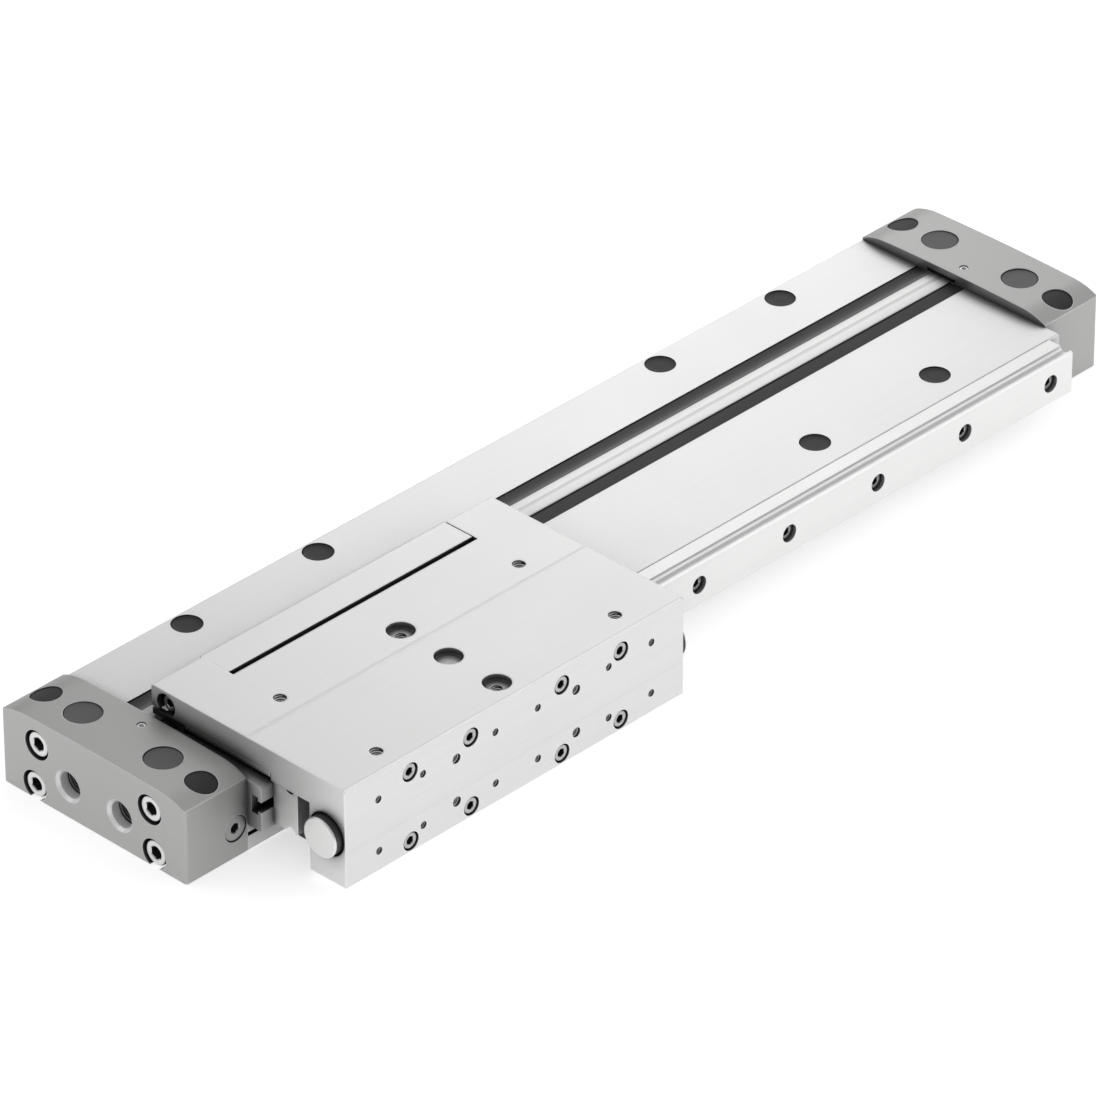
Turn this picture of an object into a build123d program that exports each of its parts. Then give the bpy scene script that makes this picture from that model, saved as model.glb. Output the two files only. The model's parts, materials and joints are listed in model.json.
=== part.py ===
import os
from math import cos, pi

from build123d import *

os.makedirs("parts", exist_ok=True)

# Axes: X runs along the stroke, Y across the flat barrel, Z up from the face it is bolted down on.
# The origin is the middle of that bottom face, between the rows of mounting holes.

# Stroke and lengths
stroke = 200.0
carriage_length = 142.0
end_gap = 4.0
barrel_length = carriage_length + stroke + 2 * end_gap
barrel_end = barrel_length / 2
cap_length = 25.0
cap_face = barrel_end + cap_length
carriage_x = -stroke / 2

# Clearances
running_gap = 0.3
loose_gap = 0.25
slip_gap = 0.05

# Barrel extrusion
barrel_height = 25.0
barrel_left = 39.0
barrel_right = 45.0
barrel_edge_radius = 0.8
ledge_height = 9.2
ledge_depth = 6.0
bore_diameter = 18.0
bore_y = 5.1
bore_roof = 4.0
bore_z = barrel_height - bore_roof - bore_diameter / 2
slot_width = 4.0
air_channel_diameter = 5.0
air_channel_y = -13.0
air_channel_z = 9.0

# Mounting holes, in two rows
mount_row_y = 33.0
barrel_mount_x = (75.0, 130.0)
cap_mount_x = barrel_end + cap_length / 2
mount_hole_diameter = 5.5
mount_head_diameter = 10.0
mount_head_depth = 6.0
hole_cap_thickness = 1.6
hole_cap_recess = 0.3

# Slot trims and the two sealing bands
strip_width = 8.2
strip_thickness = 1.9
strip_drop = 0.3
strip_side_gap = 0.1
strip_recess_half = strip_width + slot_width / 2 + strip_side_gap
strip_recess_depth = strip_thickness + strip_drop
band_width = 8.2
band_thickness = 1.0
band_clamped_length = 8.0
inner_band_width = 6.0
inner_band_thickness = 0.4
inner_seat_height = 0.8

# Grooves for proximity sensors, in both long sides
sensor_groove_z = 5.6
sensor_mouth = 1.4
sensor_head = 2.8
sensor_depth = 3.0

# Slot for the rail nuts, in the right side
rail_drop = 7.3
rail_z = barrel_height - rail_drop
nut_mouth = 3.6
nut_mouth_depth = 1.4
nut_head = 6.2
nut_head_depth = 2.8

# End caps
cap_width = 78.0
cap_shoulder_y = 29.0
cap_shoulder_rise = 3.1
cap_crown_rise = 3.5
cap_edge_rise = 0.6
cap_shoulder_z = barrel_height + cap_shoulder_rise
cap_crown_z = barrel_height + cap_crown_rise
cap_edge_z = barrel_height + cap_edge_rise
cap_edge_radius = 1.0
spigot_length = 7.0
spigot_groove_width = 2.0
spigot_groove_depth = 1.2
buffer_diameter = 12.0
buffer_length = 3.0
buffer_bore = 3.0
cap_bolt_diameter = 5.0
cap_bolt_head_diameter = 8.5
cap_bolt_head_height = 5.0
cap_bolt_sink = 10.0
cap_bolt_sink_depth = 5.6
cap_bolt_reach = 14.0
cap_bolt_run_out = 1.0
buffer_gap = 0.5
cap_bolt_drop = 5.5
cap_bolt_upper = (24.0, barrel_height - cap_bolt_drop)
cap_bolt_lower = (25.5, 4.6)
port_y = 11.0
port_z = 11.0
port_diameter = 8.8
port_mouth_diameter = 10.8
port_depth = 9.0
port_mouth_depth = 1.0
port_mouth_taper = 45
plug_y = 17.0
plug_diameter = 12.0
plug_length = 3.6
side_plug_inset = 4.8
side_plug_x = barrel_end + side_plug_inset
side_plug_z = 10.0
side_plug_diameter = 8.8
side_plug_length = 4.0
side_plug_socket = 3.0
plug_sink = 0.3
socket_share = 0.6
clamp_screw_inset = 5.0
clamp_screw_x = barrel_end + clamp_screw_inset
clamp_screw_diameter = 2.8
clamp_width = 12.0
clamp_height = 0.6

# Guide rail
rail_length = 340.0
rail_width = 15.0
rail_height = 10.0
rail_groove_height = 6.9
rail_groove_radius = 2.1
rail_groove_out = 0.5
rail_chamfer = 0.4
rail_pitch = 40.0
rail_bolts = 9
rail_bolt_diameter = 3.0
rail_bolt_head_diameter = 5.5
rail_bolt_head_height = 3.0
rail_sink_diameter = 6.0
rail_sink_depth = 4.5
rail_nut_length = 8.0

# Carriage
carriage_rise = 11.3
carriage_top = barrel_height + carriage_rise
plate_gap = 3.1
plate_bottom = barrel_height + plate_gap
plate_left = 5.0
side_face = 75.7
wall_inner = 61.0
carriage_edge_chamfer = 0.6
top_pattern_y = -47.6
top_pitch_x = 100.0
top_pitch_y = 40.0
top_thread_core = 4.2
top_thread_depth = 10.0
centring_diameter = 9.0
centring_depth = 2.1
centring_thread_core = 3.3
score_width = 1.6
score_depth = 0.12
score_top_y = -35.4
score_side_z = 13.7
rib_right = -8.6
rib_gap = 0.6
rib_bottom = barrel_height + rib_gap

# Recirculating ball blocks
block_length = 45.0
block_end_length = 7.0
block_seal_thickness = 1.0
block_offset = 31.65
block_width = 30.0
block_back = wall_inner
block_front = 47.0
block_bolt_spread = 12.2
block_bolt_half = 12.55
block_bolt_diameter = 3.0
block_bolt_head_diameter = 5.5
block_bolt_head_height = 3.0
block_bolt_sink = 6.3
block_bolt_sink_depth = 3.4
block_bolt_reach = 5.0
block_rail_gap = 0.4
wall_lip = 0.7
carriage_bottom = rail_z - block_width / 2 - wall_lip

# Small threaded holes in the side face
side_hole_depth = 3.5
side_small_diameter = 2.5
side_small_x = (8.9, 39.0, 57.3)
side_small_z = 9.05
side_large_diameter = 3.3
side_large_x = 25.15
side_large_z = 7.6

# Stops let into both ends of the side wall
stop_y = -68.0
stop_diameter = 13.2
stop_proud = 3.0
stop_sink_diameter = 14.4
stop_sink_depth = 3.0
stop_stem_diameter = 8.0
stop_stem_length = 14.0
stop_edge = 0.6

# Driver and piston
driver_inset = 20.0
driver_length = carriage_length - 2 * driver_inset
driver_width = 11.9
driver_notch_gap = 2.0
driver_far_gap = 0.4
fairing_left = 13.2
fairing_drop = 1.0
fairing_top = carriage_top - fairing_drop
fairing_rise = 3.0
fairing_bottom = barrel_height + fairing_rise
yoke_gap = 0.4
yoke_bottom = barrel_height + yoke_gap
yoke_thickness = 1.8
tunnel_side_gap = 0.5
tunnel_half = band_width / 2 + tunnel_side_gap
tunnel_height = 1.6
web_thickness = 3.0
web_length = 50.0
piston_body_gap = 0.5
ramp_inset = 1.5
outer_ramp_length = 15.0
band_float = 0.2
inner_tunnel_z = 13.0
inner_tunnel_height = 1.4
inner_tunnel_width = inner_band_width + 2 * running_gap
piston_head_length = 12.0
piston_head_gap = 0.15
piston_spigot_diameter = 8.0
piston_spigot_length = 10.0
seal_width = 2.4
seal_depth = 1.6
seal_inset = 3.0
guide_ring_width = 4.0
guide_ring_inset = 4.0
guide_ring_depth = 1.0
magnet_length = 4.0
pin_diameter = 3.0
pin_length = 8.0
pin_inset = 14.0
end_screw_y = -1.1
end_screw_drop = 5.0
end_screw_z = carriage_top - end_screw_drop
end_screw_diameter = 3.0
end_screw_head_diameter = 5.5
end_screw_head_height = 3.0
end_screw_sink = 7.8
end_screw_sink_depth = 4.5
end_screw_reach = 6.0
wiper_thickness = 1.6

# Sockets of the screws, across flats
socket_m5 = 4.0
socket_m3 = 2.5
socket_m2 = 1.5


def across_flats(size):
    """Radius of the corners of a hexagon of this size across its flats."""
    return size / 2 / cos(pi / 6)


# Barrel: one extrusion, with the round bore open along its top through a narrow slot.
# On the right a ledge overhangs the lower side and carries the guide rail.
slot_floor = barrel_height - strip_recess_depth
bore_top = bore_z + bore_diameter / 2
seat_top = bore_top + inner_seat_height / 2
band_bottom = barrel_height - strip_drop
across = Plane.YZ.offset(-barrel_end)
with BuildPart() as barrel:
    with BuildSketch(across):
        with Locations(((barrel_left - barrel_right) / 2, barrel_height / 2)):
            RectangleRounded(barrel_left + barrel_right, barrel_height, barrel_edge_radius)
        with Locations((-barrel_right, 0)):
            Rectangle(2 * ledge_depth, 2 * ledge_height, mode=Mode.SUBTRACT)
        with Locations((bore_y, bore_z)):
            Circle(bore_diameter / 2, mode=Mode.SUBTRACT)
        with Locations((bore_y, bore_z)):
            Rectangle(slot_width, barrel_height, align=(Align.CENTER, Align.MIN), mode=Mode.SUBTRACT)
        with Locations((bore_y, seat_top)):
            Rectangle(
                inner_band_width + 2 * slip_gap,
                bore_top - bore_z,
                align=(Align.CENTER, Align.MAX),
                mode=Mode.SUBTRACT,
            )
        with Locations((bore_y, slot_floor)):
            Rectangle(
                2 * strip_recess_half,
                barrel_height,
                align=(Align.CENTER, Align.MIN),
                mode=Mode.SUBTRACT,
            )
        with Locations((air_channel_y, air_channel_z)):
            Circle(air_channel_diameter / 2, mode=Mode.SUBTRACT)
        with Locations((-barrel_right, rail_z)):
            Rectangle(2 * nut_mouth_depth, nut_mouth, mode=Mode.SUBTRACT)
        with Locations((-barrel_right + nut_mouth_depth, rail_z)):
            Rectangle(nut_head_depth, nut_head, align=(Align.MIN, Align.CENTER), mode=Mode.SUBTRACT)
        for side_y, turn in ((ledge_depth - barrel_right, 0), (barrel_left, 180)):
            with Locations(Location((side_y, sensor_groove_z), turn)):
                Rectangle(2 * sensor_depth, sensor_mouth, mode=Mode.SUBTRACT)
                with Locations((sensor_depth - sensor_head / 2, 0)):
                    Circle(sensor_head / 2, mode=Mode.SUBTRACT)
    extrude(amount=barrel_length)
    mount_points = [(sx * x, sy * mount_row_y) for x in barrel_mount_x for sx in (-1, 1) for sy in (-1, 1)]
    with Locations(*[(x, y, barrel_height) for x, y in mount_points]):
        CounterBoreHole(mount_hole_diameter / 2, mount_head_diameter / 2, mount_head_depth)
    bolt_points = [(s * y, z) for y, z in (cap_bolt_upper, cap_bolt_lower) for s in (-1, 1)]
    for end in (-1, 1):
        with BuildSketch(Plane.YZ.offset(end * barrel_end)):
            with Locations(*bolt_points):
                Circle(cap_bolt_diameter / 2 + slip_gap)
        extrude(amount=-end * (cap_bolt_reach + cap_bolt_run_out), mode=Mode.SUBTRACT)
barrel.part.label = "barrel"
export_step(barrel.part, "parts/barrel.step")

# Black strips beside the slot, which hold the outer band down
strip_centre = slot_width / 2 + strip_width / 2
with BuildPart() as band_strips:
    with BuildSketch(Plane.XY.offset(slot_floor)):
        with Locations((0, bore_y - strip_centre), (0, bore_y + strip_centre)):
            Rectangle(barrel_length, strip_width)
    extrude(amount=strip_thickness)
band_strips.part.label = "band_strips"
export_step(band_strips.part, "parts/band_strips.step")

# Black covers over the heads of the mounting screws
cover_radius = mount_head_diameter / 2 - slip_gap
with BuildPart() as barrel_hole_covers:
    with BuildSketch(Plane.XY.offset(barrel_height - hole_cap_recess)):
        with Locations(*mount_points):
            Circle(cover_radius)
    extrude(amount=-hole_cap_thickness)
barrel_hole_covers.part.label = "barrel_hole_covers"
export_step(barrel_hole_covers.part, "parts/barrel_hole_covers.step")


def crown(y):
    """Height of an end cap's top at a distance y from its middle, on the arc of its crown."""
    rise = cap_crown_z - cap_shoulder_z
    radius = (cap_shoulder_y**2 + rise**2) / (2 * rise)
    return cap_crown_z - radius + (radius**2 - y**2) ** 0.5


# End caps: an arched block with a spigot in the bore, one for each end
clamp_bottom = band_bottom + band_thickness
clamp_top = clamp_bottom + clamp_height
cap_mount_points = [(cap_mount_x, s * mount_row_y) for s in (-1, 1)]
plug_points = [(cap_mount_x, s * plug_y) for s in (-1, 1)]
plug_top = crown(plug_y)


def cap_outline():
    """Section of an end cap: straight sides, an arched top and round shoulders between them."""
    with BuildSketch() as outline:
        with BuildLine():
            base = Polyline(
                (-cap_width / 2, cap_edge_z),
                (-cap_width / 2, 0),
                (cap_width / 2, 0),
                (cap_width / 2, cap_edge_z),
            )
            middle = ThreePointArc(
                (-cap_shoulder_y, cap_shoulder_z),
                (0, cap_crown_z),
                (cap_shoulder_y, cap_shoulder_z),
            )
            TangentArc(middle @ 1, base @ 1, tangent=middle % 1)
            TangentArc(middle @ 0, base @ 0, tangent=-(middle % 0))
        make_face()
    return outline.sketch


def end_cap(end, ports):
    """One end cap, at the barrel's end on the side that end gives, with or without the air ports."""
    inner = Plane.YZ.offset(end * barrel_end)
    face = Plane.YZ.offset(end * cap_face)
    with BuildPart() as cap:
        with BuildSketch(inner):
            add(cap_outline())
        extrude(amount=end * cap_length)
        fillet(cap.edges().filter_by(Axis.Z).group_by(Axis.X)[-1 if end > 0 else 0], cap_edge_radius)
        with BuildSketch(inner):
            with Locations((bore_y, bore_z)):
                Circle(bore_diameter / 2 - slip_gap)
        extrude(amount=-end * spigot_length)
        with BuildSketch(Plane.YZ.offset(end * (barrel_end - spigot_length / 2 - spigot_groove_width / 2))):
            with Locations((bore_y, bore_z)):
                Circle(bore_diameter / 2)
                Circle(bore_diameter / 2 - spigot_groove_depth, mode=Mode.SUBTRACT)
        extrude(amount=end * spigot_groove_width, mode=Mode.SUBTRACT)
        # The band's end lies in a pocket under its clamp
        with BuildSketch(Plane.XY.offset(band_bottom)):
            with Locations((end * barrel_end, bore_y)):
                Rectangle(2 * band_clamped_length, clamp_width + 2 * slip_gap)
        extrude(amount=clamp_top - band_bottom, mode=Mode.SUBTRACT)
        with Locations(*[(end * x, y, barrel_height + mount_head_depth) for x, y in cap_mount_points]):
            CounterBoreHole(mount_hole_diameter / 2, mount_head_diameter / 2, 2 * mount_head_depth)
        with BuildSketch(Plane.XY.offset(plug_top - plug_length)):
            with Locations(*[(end * x, y) for x, y in plug_points]):
                Circle(plug_diameter / 2 + slip_gap)
        extrude(amount=2 * plug_length, mode=Mode.SUBTRACT)
        with BuildSketch(Plane.XY.offset(clamp_top)):
            with Locations((end * clamp_screw_x, 0)):
                Circle(clamp_screw_diameter / 2 + slip_gap)
        extrude(amount=barrel_height, mode=Mode.SUBTRACT)
        with BuildSketch(face):
            with Locations(*bolt_points):
                Circle(cap_bolt_sink / 2)
        extrude(amount=-end * cap_bolt_sink_depth, mode=Mode.SUBTRACT)
        with BuildSketch(face):
            with Locations(*bolt_points):
                Circle(mount_hole_diameter / 2)
        extrude(amount=-end * cap_length, mode=Mode.SUBTRACT)
        with BuildSketch(Plane.XZ.offset(cap_width / 2)):
            with Locations((end * side_plug_x, side_plug_z)):
                Circle(side_plug_diameter / 2 + slip_gap)
        extrude(amount=-side_plug_length, mode=Mode.SUBTRACT)
        if ports:
            with BuildSketch(face):
                with Locations((-port_y, port_z), (port_y, port_z)):
                    Circle(port_diameter / 2)
            extrude(amount=-end * port_depth, mode=Mode.SUBTRACT)
            with BuildSketch(face):
                with Locations((-port_y, port_z), (port_y, port_z)):
                    Circle(port_mouth_diameter / 2)
            extrude(amount=-end * port_mouth_depth, taper=port_mouth_taper, mode=Mode.SUBTRACT)
    return cap.part


near_end_cap = end_cap(-1, True)
near_end_cap.label = "near_end_cap"
export_step(near_end_cap, "parts/near_end_cap.step")
far_end_cap = end_cap(1, False)
far_end_cap.label = "far_end_cap"
export_step(far_end_cap, "parts/far_end_cap.step")

# Rings in the spigots' grooves, and the buffers that the piston meets at the ends of its stroke
groove_plane = barrel_end - spigot_length / 2
with BuildPart() as cap_seals:
    for end in (-1, 1):
        with BuildSketch(Plane.YZ.offset(end * groove_plane)):
            with Locations((bore_y, bore_z)):
                Circle(bore_diameter / 2 - slip_gap / 2)
                Circle(bore_diameter / 2 - spigot_groove_depth, mode=Mode.SUBTRACT)
        extrude(amount=spigot_groove_width / 2 - slip_gap, both=True)
cap_seals.part.label = "cap_seals"
export_step(cap_seals.part, "parts/cap_seals.step")

with BuildPart() as end_buffers:
    for end in (-1, 1):
        with BuildSketch(Plane.YZ.offset(end * (barrel_end - spigot_length))):
            with Locations((bore_y, bore_z)):
                Circle(buffer_diameter / 2)
                Circle(buffer_bore / 2, mode=Mode.SUBTRACT)
        extrude(amount=-end * buffer_length)
end_buffers.part.label = "end_buffers"
export_step(end_buffers.part, "parts/end_buffers.step")


def socket_screw(head_diameter, head_height, diameter, length, socket):
    """A socket head screw: its head stands on the XY plane and its shank runs down -Z."""
    with BuildPart() as screw:
        with BuildSketch():
            Circle(head_diameter / 2)
        extrude(amount=head_height)
        with BuildSketch(Plane.XY.offset(head_height)):
            RegularPolygon(across_flats(socket), 6)
        extrude(amount=-head_height * socket_share, mode=Mode.SUBTRACT)
        with BuildSketch():
            Circle(diameter / 2)
        extrude(amount=-length)
    return screw.part


def seats(points, outward):
    """Locations at these points whose Z axis points outward, for screws and plugs."""
    return Locations(*[Plane(origin=point, z_dir=outward).location for point in points])


# Screws that hold the end caps to the barrel
cap_bolt_grip = cap_length - cap_bolt_sink_depth
cap_bolt = socket_screw(
    cap_bolt_head_diameter,
    cap_bolt_head_height,
    cap_bolt_diameter,
    cap_bolt_grip + cap_bolt_reach,
    socket_m5,
)
cap_bolt_seat = barrel_end + cap_bolt_grip
with BuildPart() as near_cap_screws:
    with seats([(-cap_bolt_seat, y, z) for y, z in bolt_points], (-1, 0, 0)):
        add(cap_bolt)
near_cap_screws.part.label = "near_cap_screws"
export_step(near_cap_screws.part, "parts/near_cap_screws.step")

with BuildPart() as far_cap_screws:
    with seats([(cap_bolt_seat, y, z) for y, z in bolt_points], (1, 0, 0)):
        add(cap_bolt)
far_cap_screws.part.label = "far_cap_screws"
export_step(far_cap_screws.part, "parts/far_cap_screws.step")

# Covers over the end caps' mounting screws, and the plugs that close their drilled passages
with BuildPart() as cap_hole_covers:
    with BuildSketch(Plane.XY.offset(barrel_height - hole_cap_recess)):
        with Locations(*[(end * x, y) for x, y in cap_mount_points for end in (-1, 1)]):
            Circle(cover_radius)
    extrude(amount=barrel_height)
    # Their tops follow the slope of the shoulders
    with BuildSketch(Plane.YZ.offset(-cap_face)):
        with Locations((0, -hole_cap_recess)):
            add(cap_outline())
    extrude(amount=2 * cap_face, mode=Mode.INTERSECT)
cap_hole_covers.part.label = "cap_hole_covers"
export_step(cap_hole_covers.part, "parts/cap_hole_covers.step")

with BuildPart() as passage_plugs:
    with BuildSketch(Plane.XY.offset(plug_top - plug_length)):
        with Locations(*[(end * x, y) for x, y in plug_points for end in (-1, 1)]):
            Circle(plug_diameter / 2)
    extrude(amount=plug_length - plug_sink)
passage_plugs.part.label = "passage_plugs"
export_step(passage_plugs.part, "parts/passage_plugs.step")

with BuildPart() as side_port_plugs:
    with BuildSketch(Plane.XZ.offset(cap_width / 2 - plug_sink)):
        with Locations((-side_plug_x, side_plug_z), (side_plug_x, side_plug_z)):
            Circle(side_plug_diameter / 2)
    extrude(amount=plug_sink - side_plug_length)
    with BuildSketch(Plane.XZ.offset(cap_width / 2 - plug_sink)):
        with Locations((-side_plug_x, side_plug_z), (side_plug_x, side_plug_z)):
            RegularPolygon(across_flats(side_plug_socket), 6)
    extrude(amount=-side_plug_length * socket_share, mode=Mode.SUBTRACT)
side_port_plugs.part.label = "side_port_plugs"
export_step(side_port_plugs.part, "parts/side_port_plugs.step")

# Clamp plates and set screws, which hold the outer band's ends in the caps
with BuildPart() as band_clamps:
    with BuildSketch(Plane.XY.offset(clamp_bottom)):
        for end in (-1, 1):
            with Locations((end * (barrel_end + band_clamped_length / 2), bore_y)):
                Rectangle(band_clamped_length - 2 * running_gap, clamp_width)
    extrude(amount=clamp_height)
band_clamps.part.label = "band_clamps"
export_step(band_clamps.part, "parts/band_clamps.step")

clamp_screw_top = cap_crown_z - plug_sink
with BuildPart() as clamp_screws:
    with BuildSketch(Plane.XY.offset(clamp_top)):
        with Locations((-clamp_screw_x, 0), (clamp_screw_x, 0)):
            Circle(clamp_screw_diameter / 2)
    extrude(amount=clamp_screw_top - clamp_top)
    with BuildSketch(Plane.XY.offset(clamp_screw_top)):
        with Locations((-clamp_screw_x, 0), (clamp_screw_x, 0)):
            RegularPolygon(across_flats(socket_m2), 6)
    extrude(amount=(clamp_top - clamp_screw_top) * socket_share, mode=Mode.SUBTRACT)
clamp_screws.part.label = "clamp_screws"
export_step(clamp_screws.part, "parts/clamp_screws.step")

# Guide rail on the barrel's right side, with a ball groove along its top and bottom
rail_face = -barrel_right - rail_height
rail_half = rail_width / 2
groove_y = -barrel_right - rail_groove_height
groove_centres = [(groove_y, rail_z + s * (rail_half + rail_groove_out)) for s in (-1, 1)]
rail_bolt_x = [rail_pitch * (i - (rail_bolts - 1) / 2) for i in range(rail_bolts)]
with BuildPart() as guide_rail:
    with BuildSketch(Plane.YZ.offset(-rail_length / 2)):
        with Locations((-barrel_right, rail_z)):
            Rectangle(rail_height, rail_width, align=(Align.MAX, Align.CENTER))
        chamfer(vertices().group_by(Axis.X)[0], rail_chamfer)
        with Locations(*groove_centres):
            Circle(rail_groove_radius, mode=Mode.SUBTRACT)
    extrude(amount=rail_length)
    with seats([(x, rail_face, rail_z) for x in rail_bolt_x], (0, -1, 0)):
        CounterBoreHole(rail_bolt_diameter / 2 + loose_gap, rail_sink_diameter / 2, rail_sink_depth)
guide_rail.part.label = "guide_rail"
export_step(guide_rail.part, "parts/guide_rail.step")

# Rail screws, and the nuts that they pull against the barrel's slot
rail_bolt_seat = rail_face + rail_sink_depth
nut_face = -barrel_right + nut_mouth_depth
nut_thickness = nut_head_depth - 2 * loose_gap
rail_bolt = socket_screw(
    rail_bolt_head_diameter,
    rail_bolt_head_height,
    rail_bolt_diameter,
    nut_face + nut_thickness - rail_bolt_seat,
    socket_m3,
)
with BuildPart() as rail_screws:
    with seats([(x, rail_bolt_seat, rail_z) for x in rail_bolt_x], (0, -1, 0)):
        add(rail_bolt)
rail_screws.part.label = "rail_screws"
export_step(rail_screws.part, "parts/rail_screws.step")

with BuildPart() as rail_nuts:
    with BuildSketch(Plane.XZ.offset(-nut_face)):
        with Locations(*[(x, rail_z) for x in rail_bolt_x]):
            Rectangle(rail_nut_length, nut_head - 2 * loose_gap)
            Circle(rail_bolt_diameter / 2 + slip_gap, mode=Mode.SUBTRACT)
    extrude(amount=-nut_thickness)
rail_nuts.part.label = "rail_nuts"
export_step(rail_nuts.part, "parts/rail_nuts.step")

# Carriage: a plate over the barrel and a side wall outside the rail, milled from one block
near_face = carriage_x - carriage_length / 2
far_face = carriage_x + carriage_length / 2
yoke_top = yoke_bottom + yoke_thickness
end_wall_bottom = rail_z + rail_width / 2 + running_gap
tunnel_top = yoke_top + tunnel_height
tunnel_right = bore_y - tunnel_half
block_half = block_length / 2 + block_end_length + block_seal_thickness
pocket_half = block_offset + block_half + 2 * running_gap
pocket_top = rail_z + block_width / 2 + running_gap
notch_near = carriage_x - driver_length / 2
notch_far = carriage_x + driver_length / 2 + driver_far_gap
notch_right = plate_left - driver_width - driver_notch_gap
block_bolt_x = [carriage_x + s * block_offset + t * block_bolt_half for s in (-1, 1) for t in (-1, 1)]
block_bolt_z = [rail_z - block_bolt_spread, rail_z + block_bolt_spread]
top_points = [(carriage_x + s * top_pitch_x / 2, top_pattern_y + t * top_pitch_y / 2)
              for s in (-1, 1) for t in (-1, 1)]
centring_points = [(carriage_x, top_pattern_y + t * top_pitch_y / 2) for t in (-1, 0, 1)]
side_small = [(carriage_x + s * x, rail_z + t * side_small_z)
              for x in side_small_x for s in (-1, 1) for t in (-1, 1)]
side_large = [(carriage_x + s * side_large_x, rail_z + t * side_large_z)
              for s in (-1, 1) for t in (-1, 1)]
with BuildPart() as carriage_body:
    with BuildSketch(Plane.YZ.offset(near_face)):
        with BuildLine():
            Polyline(
                (plate_left, plate_bottom),
                (plate_left, carriage_top),
                (-side_face, carriage_top),
                (-side_face, carriage_bottom),
                (-wall_inner, carriage_bottom),
                (-wall_inner, end_wall_bottom),
                (-barrel_right, end_wall_bottom),
                (-barrel_right, plate_bottom),
                close=True,
            )
        make_face()
        with Locations((tunnel_right, rib_bottom)):
            Rectangle(
                tunnel_right - rib_right,
                plate_bottom - rib_bottom,
                align=(Align.MAX, Align.MIN),
            )
        with Locations((tunnel_right, plate_bottom)):
            Rectangle(
                plate_left - tunnel_right,
                tunnel_top - plate_bottom,
                align=(Align.MIN, Align.MIN),
                mode=Mode.SUBTRACT,
            )
    extrude(amount=carriage_length)
    long_edges = carriage_body.edges().filter_by(Axis.X)
    chamfer(long_edges.group_by(Axis.Z)[-1], carriage_edge_chamfer)
    # Room for the ball blocks, and the notch that takes the driver
    with BuildSketch(Plane.XZ.offset(wall_inner)):
        with Locations((carriage_x, pocket_top)):
            Rectangle(2 * pocket_half, pocket_top, align=(Align.CENTER, Align.MAX))
    extrude(amount=barrel_right - wall_inner, mode=Mode.SUBTRACT)
    with BuildSketch(Plane.XY.offset(rib_bottom)):
        with Locations((notch_near, notch_right)):
            Rectangle(
                notch_far - notch_near,
                plate_left - notch_right,
                align=(Align.MIN, Align.MIN),
            )
    extrude(amount=carriage_top, mode=Mode.SUBTRACT)
    # Wipers stand in front of the rib
    for face_x, inward in ((near_face, 1), (far_face, -1)):
        with BuildSketch(Plane.YZ.offset(face_x)):
            with Locations((rib_right, rib_bottom)):
                Rectangle(
                    tunnel_right - rib_right,
                    plate_bottom - rib_bottom,
                    align=(Align.MIN, Align.MIN),
                )
        extrude(amount=inward * wiper_thickness, mode=Mode.SUBTRACT)
    # Threads and centring holes on top
    with BuildSketch(Plane.XY.offset(carriage_top)):
        with Locations(*top_points):
            Circle(top_thread_core / 2)
        with Locations(centring_points[0], centring_points[2]):
            Circle(centring_thread_core / 2)
    extrude(amount=-top_thread_depth, mode=Mode.SUBTRACT)
    with BuildSketch(Plane.XY.offset(carriage_top)):
        with Locations(*centring_points):
            Circle(centring_diameter / 2)
    extrude(amount=-centring_depth, mode=Mode.SUBTRACT)
    # Block screws and small threads in the side
    with BuildSketch(Plane.XZ.offset(side_face)):
        with Locations(*[(x, z) for x in block_bolt_x for z in block_bolt_z]):
            Circle(block_bolt_sink / 2)
    extrude(amount=-block_bolt_sink_depth, mode=Mode.SUBTRACT)
    with BuildSketch(Plane.XZ.offset(side_face)):
        with Locations(*[(x, z) for x in block_bolt_x for z in block_bolt_z]):
            Circle(block_bolt_diameter / 2 + loose_gap)
    extrude(amount=wall_inner - side_face, mode=Mode.SUBTRACT)
    with BuildSketch(Plane.XZ.offset(side_face)):
        with Locations(*side_small):
            Circle(side_small_diameter / 2)
        with Locations(*side_large):
            Circle(side_large_diameter / 2)
    extrude(amount=-side_hole_depth, mode=Mode.SUBTRACT)
    # Screws that hold the driver, and the stops, come in from the two end faces
    for face_x, inward in ((near_face, 1), (far_face, -1)):
        with BuildSketch(Plane.YZ.offset(face_x)):
            with Locations((end_screw_y, end_screw_z)):
                Circle(end_screw_sink / 2)
        extrude(amount=inward * end_screw_sink_depth, mode=Mode.SUBTRACT)
        with BuildSketch(Plane.YZ.offset(face_x)):
            with Locations((end_screw_y, end_screw_z)):
                Circle(end_screw_diameter / 2 + loose_gap)
        extrude(amount=inward * (notch_near - near_face), mode=Mode.SUBTRACT)
        with BuildSketch(Plane.YZ.offset(face_x)):
            with Locations((stop_y, rail_z)):
                Circle(stop_sink_diameter / 2)
        extrude(amount=inward * stop_sink_depth, mode=Mode.SUBTRACT)
        with BuildSketch(Plane.YZ.offset(face_x)):
            with Locations((stop_y, rail_z)):
                Circle(stop_stem_diameter / 2 + slip_gap)
        extrude(amount=inward * (stop_sink_depth + stop_stem_length + running_gap), mode=Mode.SUBTRACT)
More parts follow.
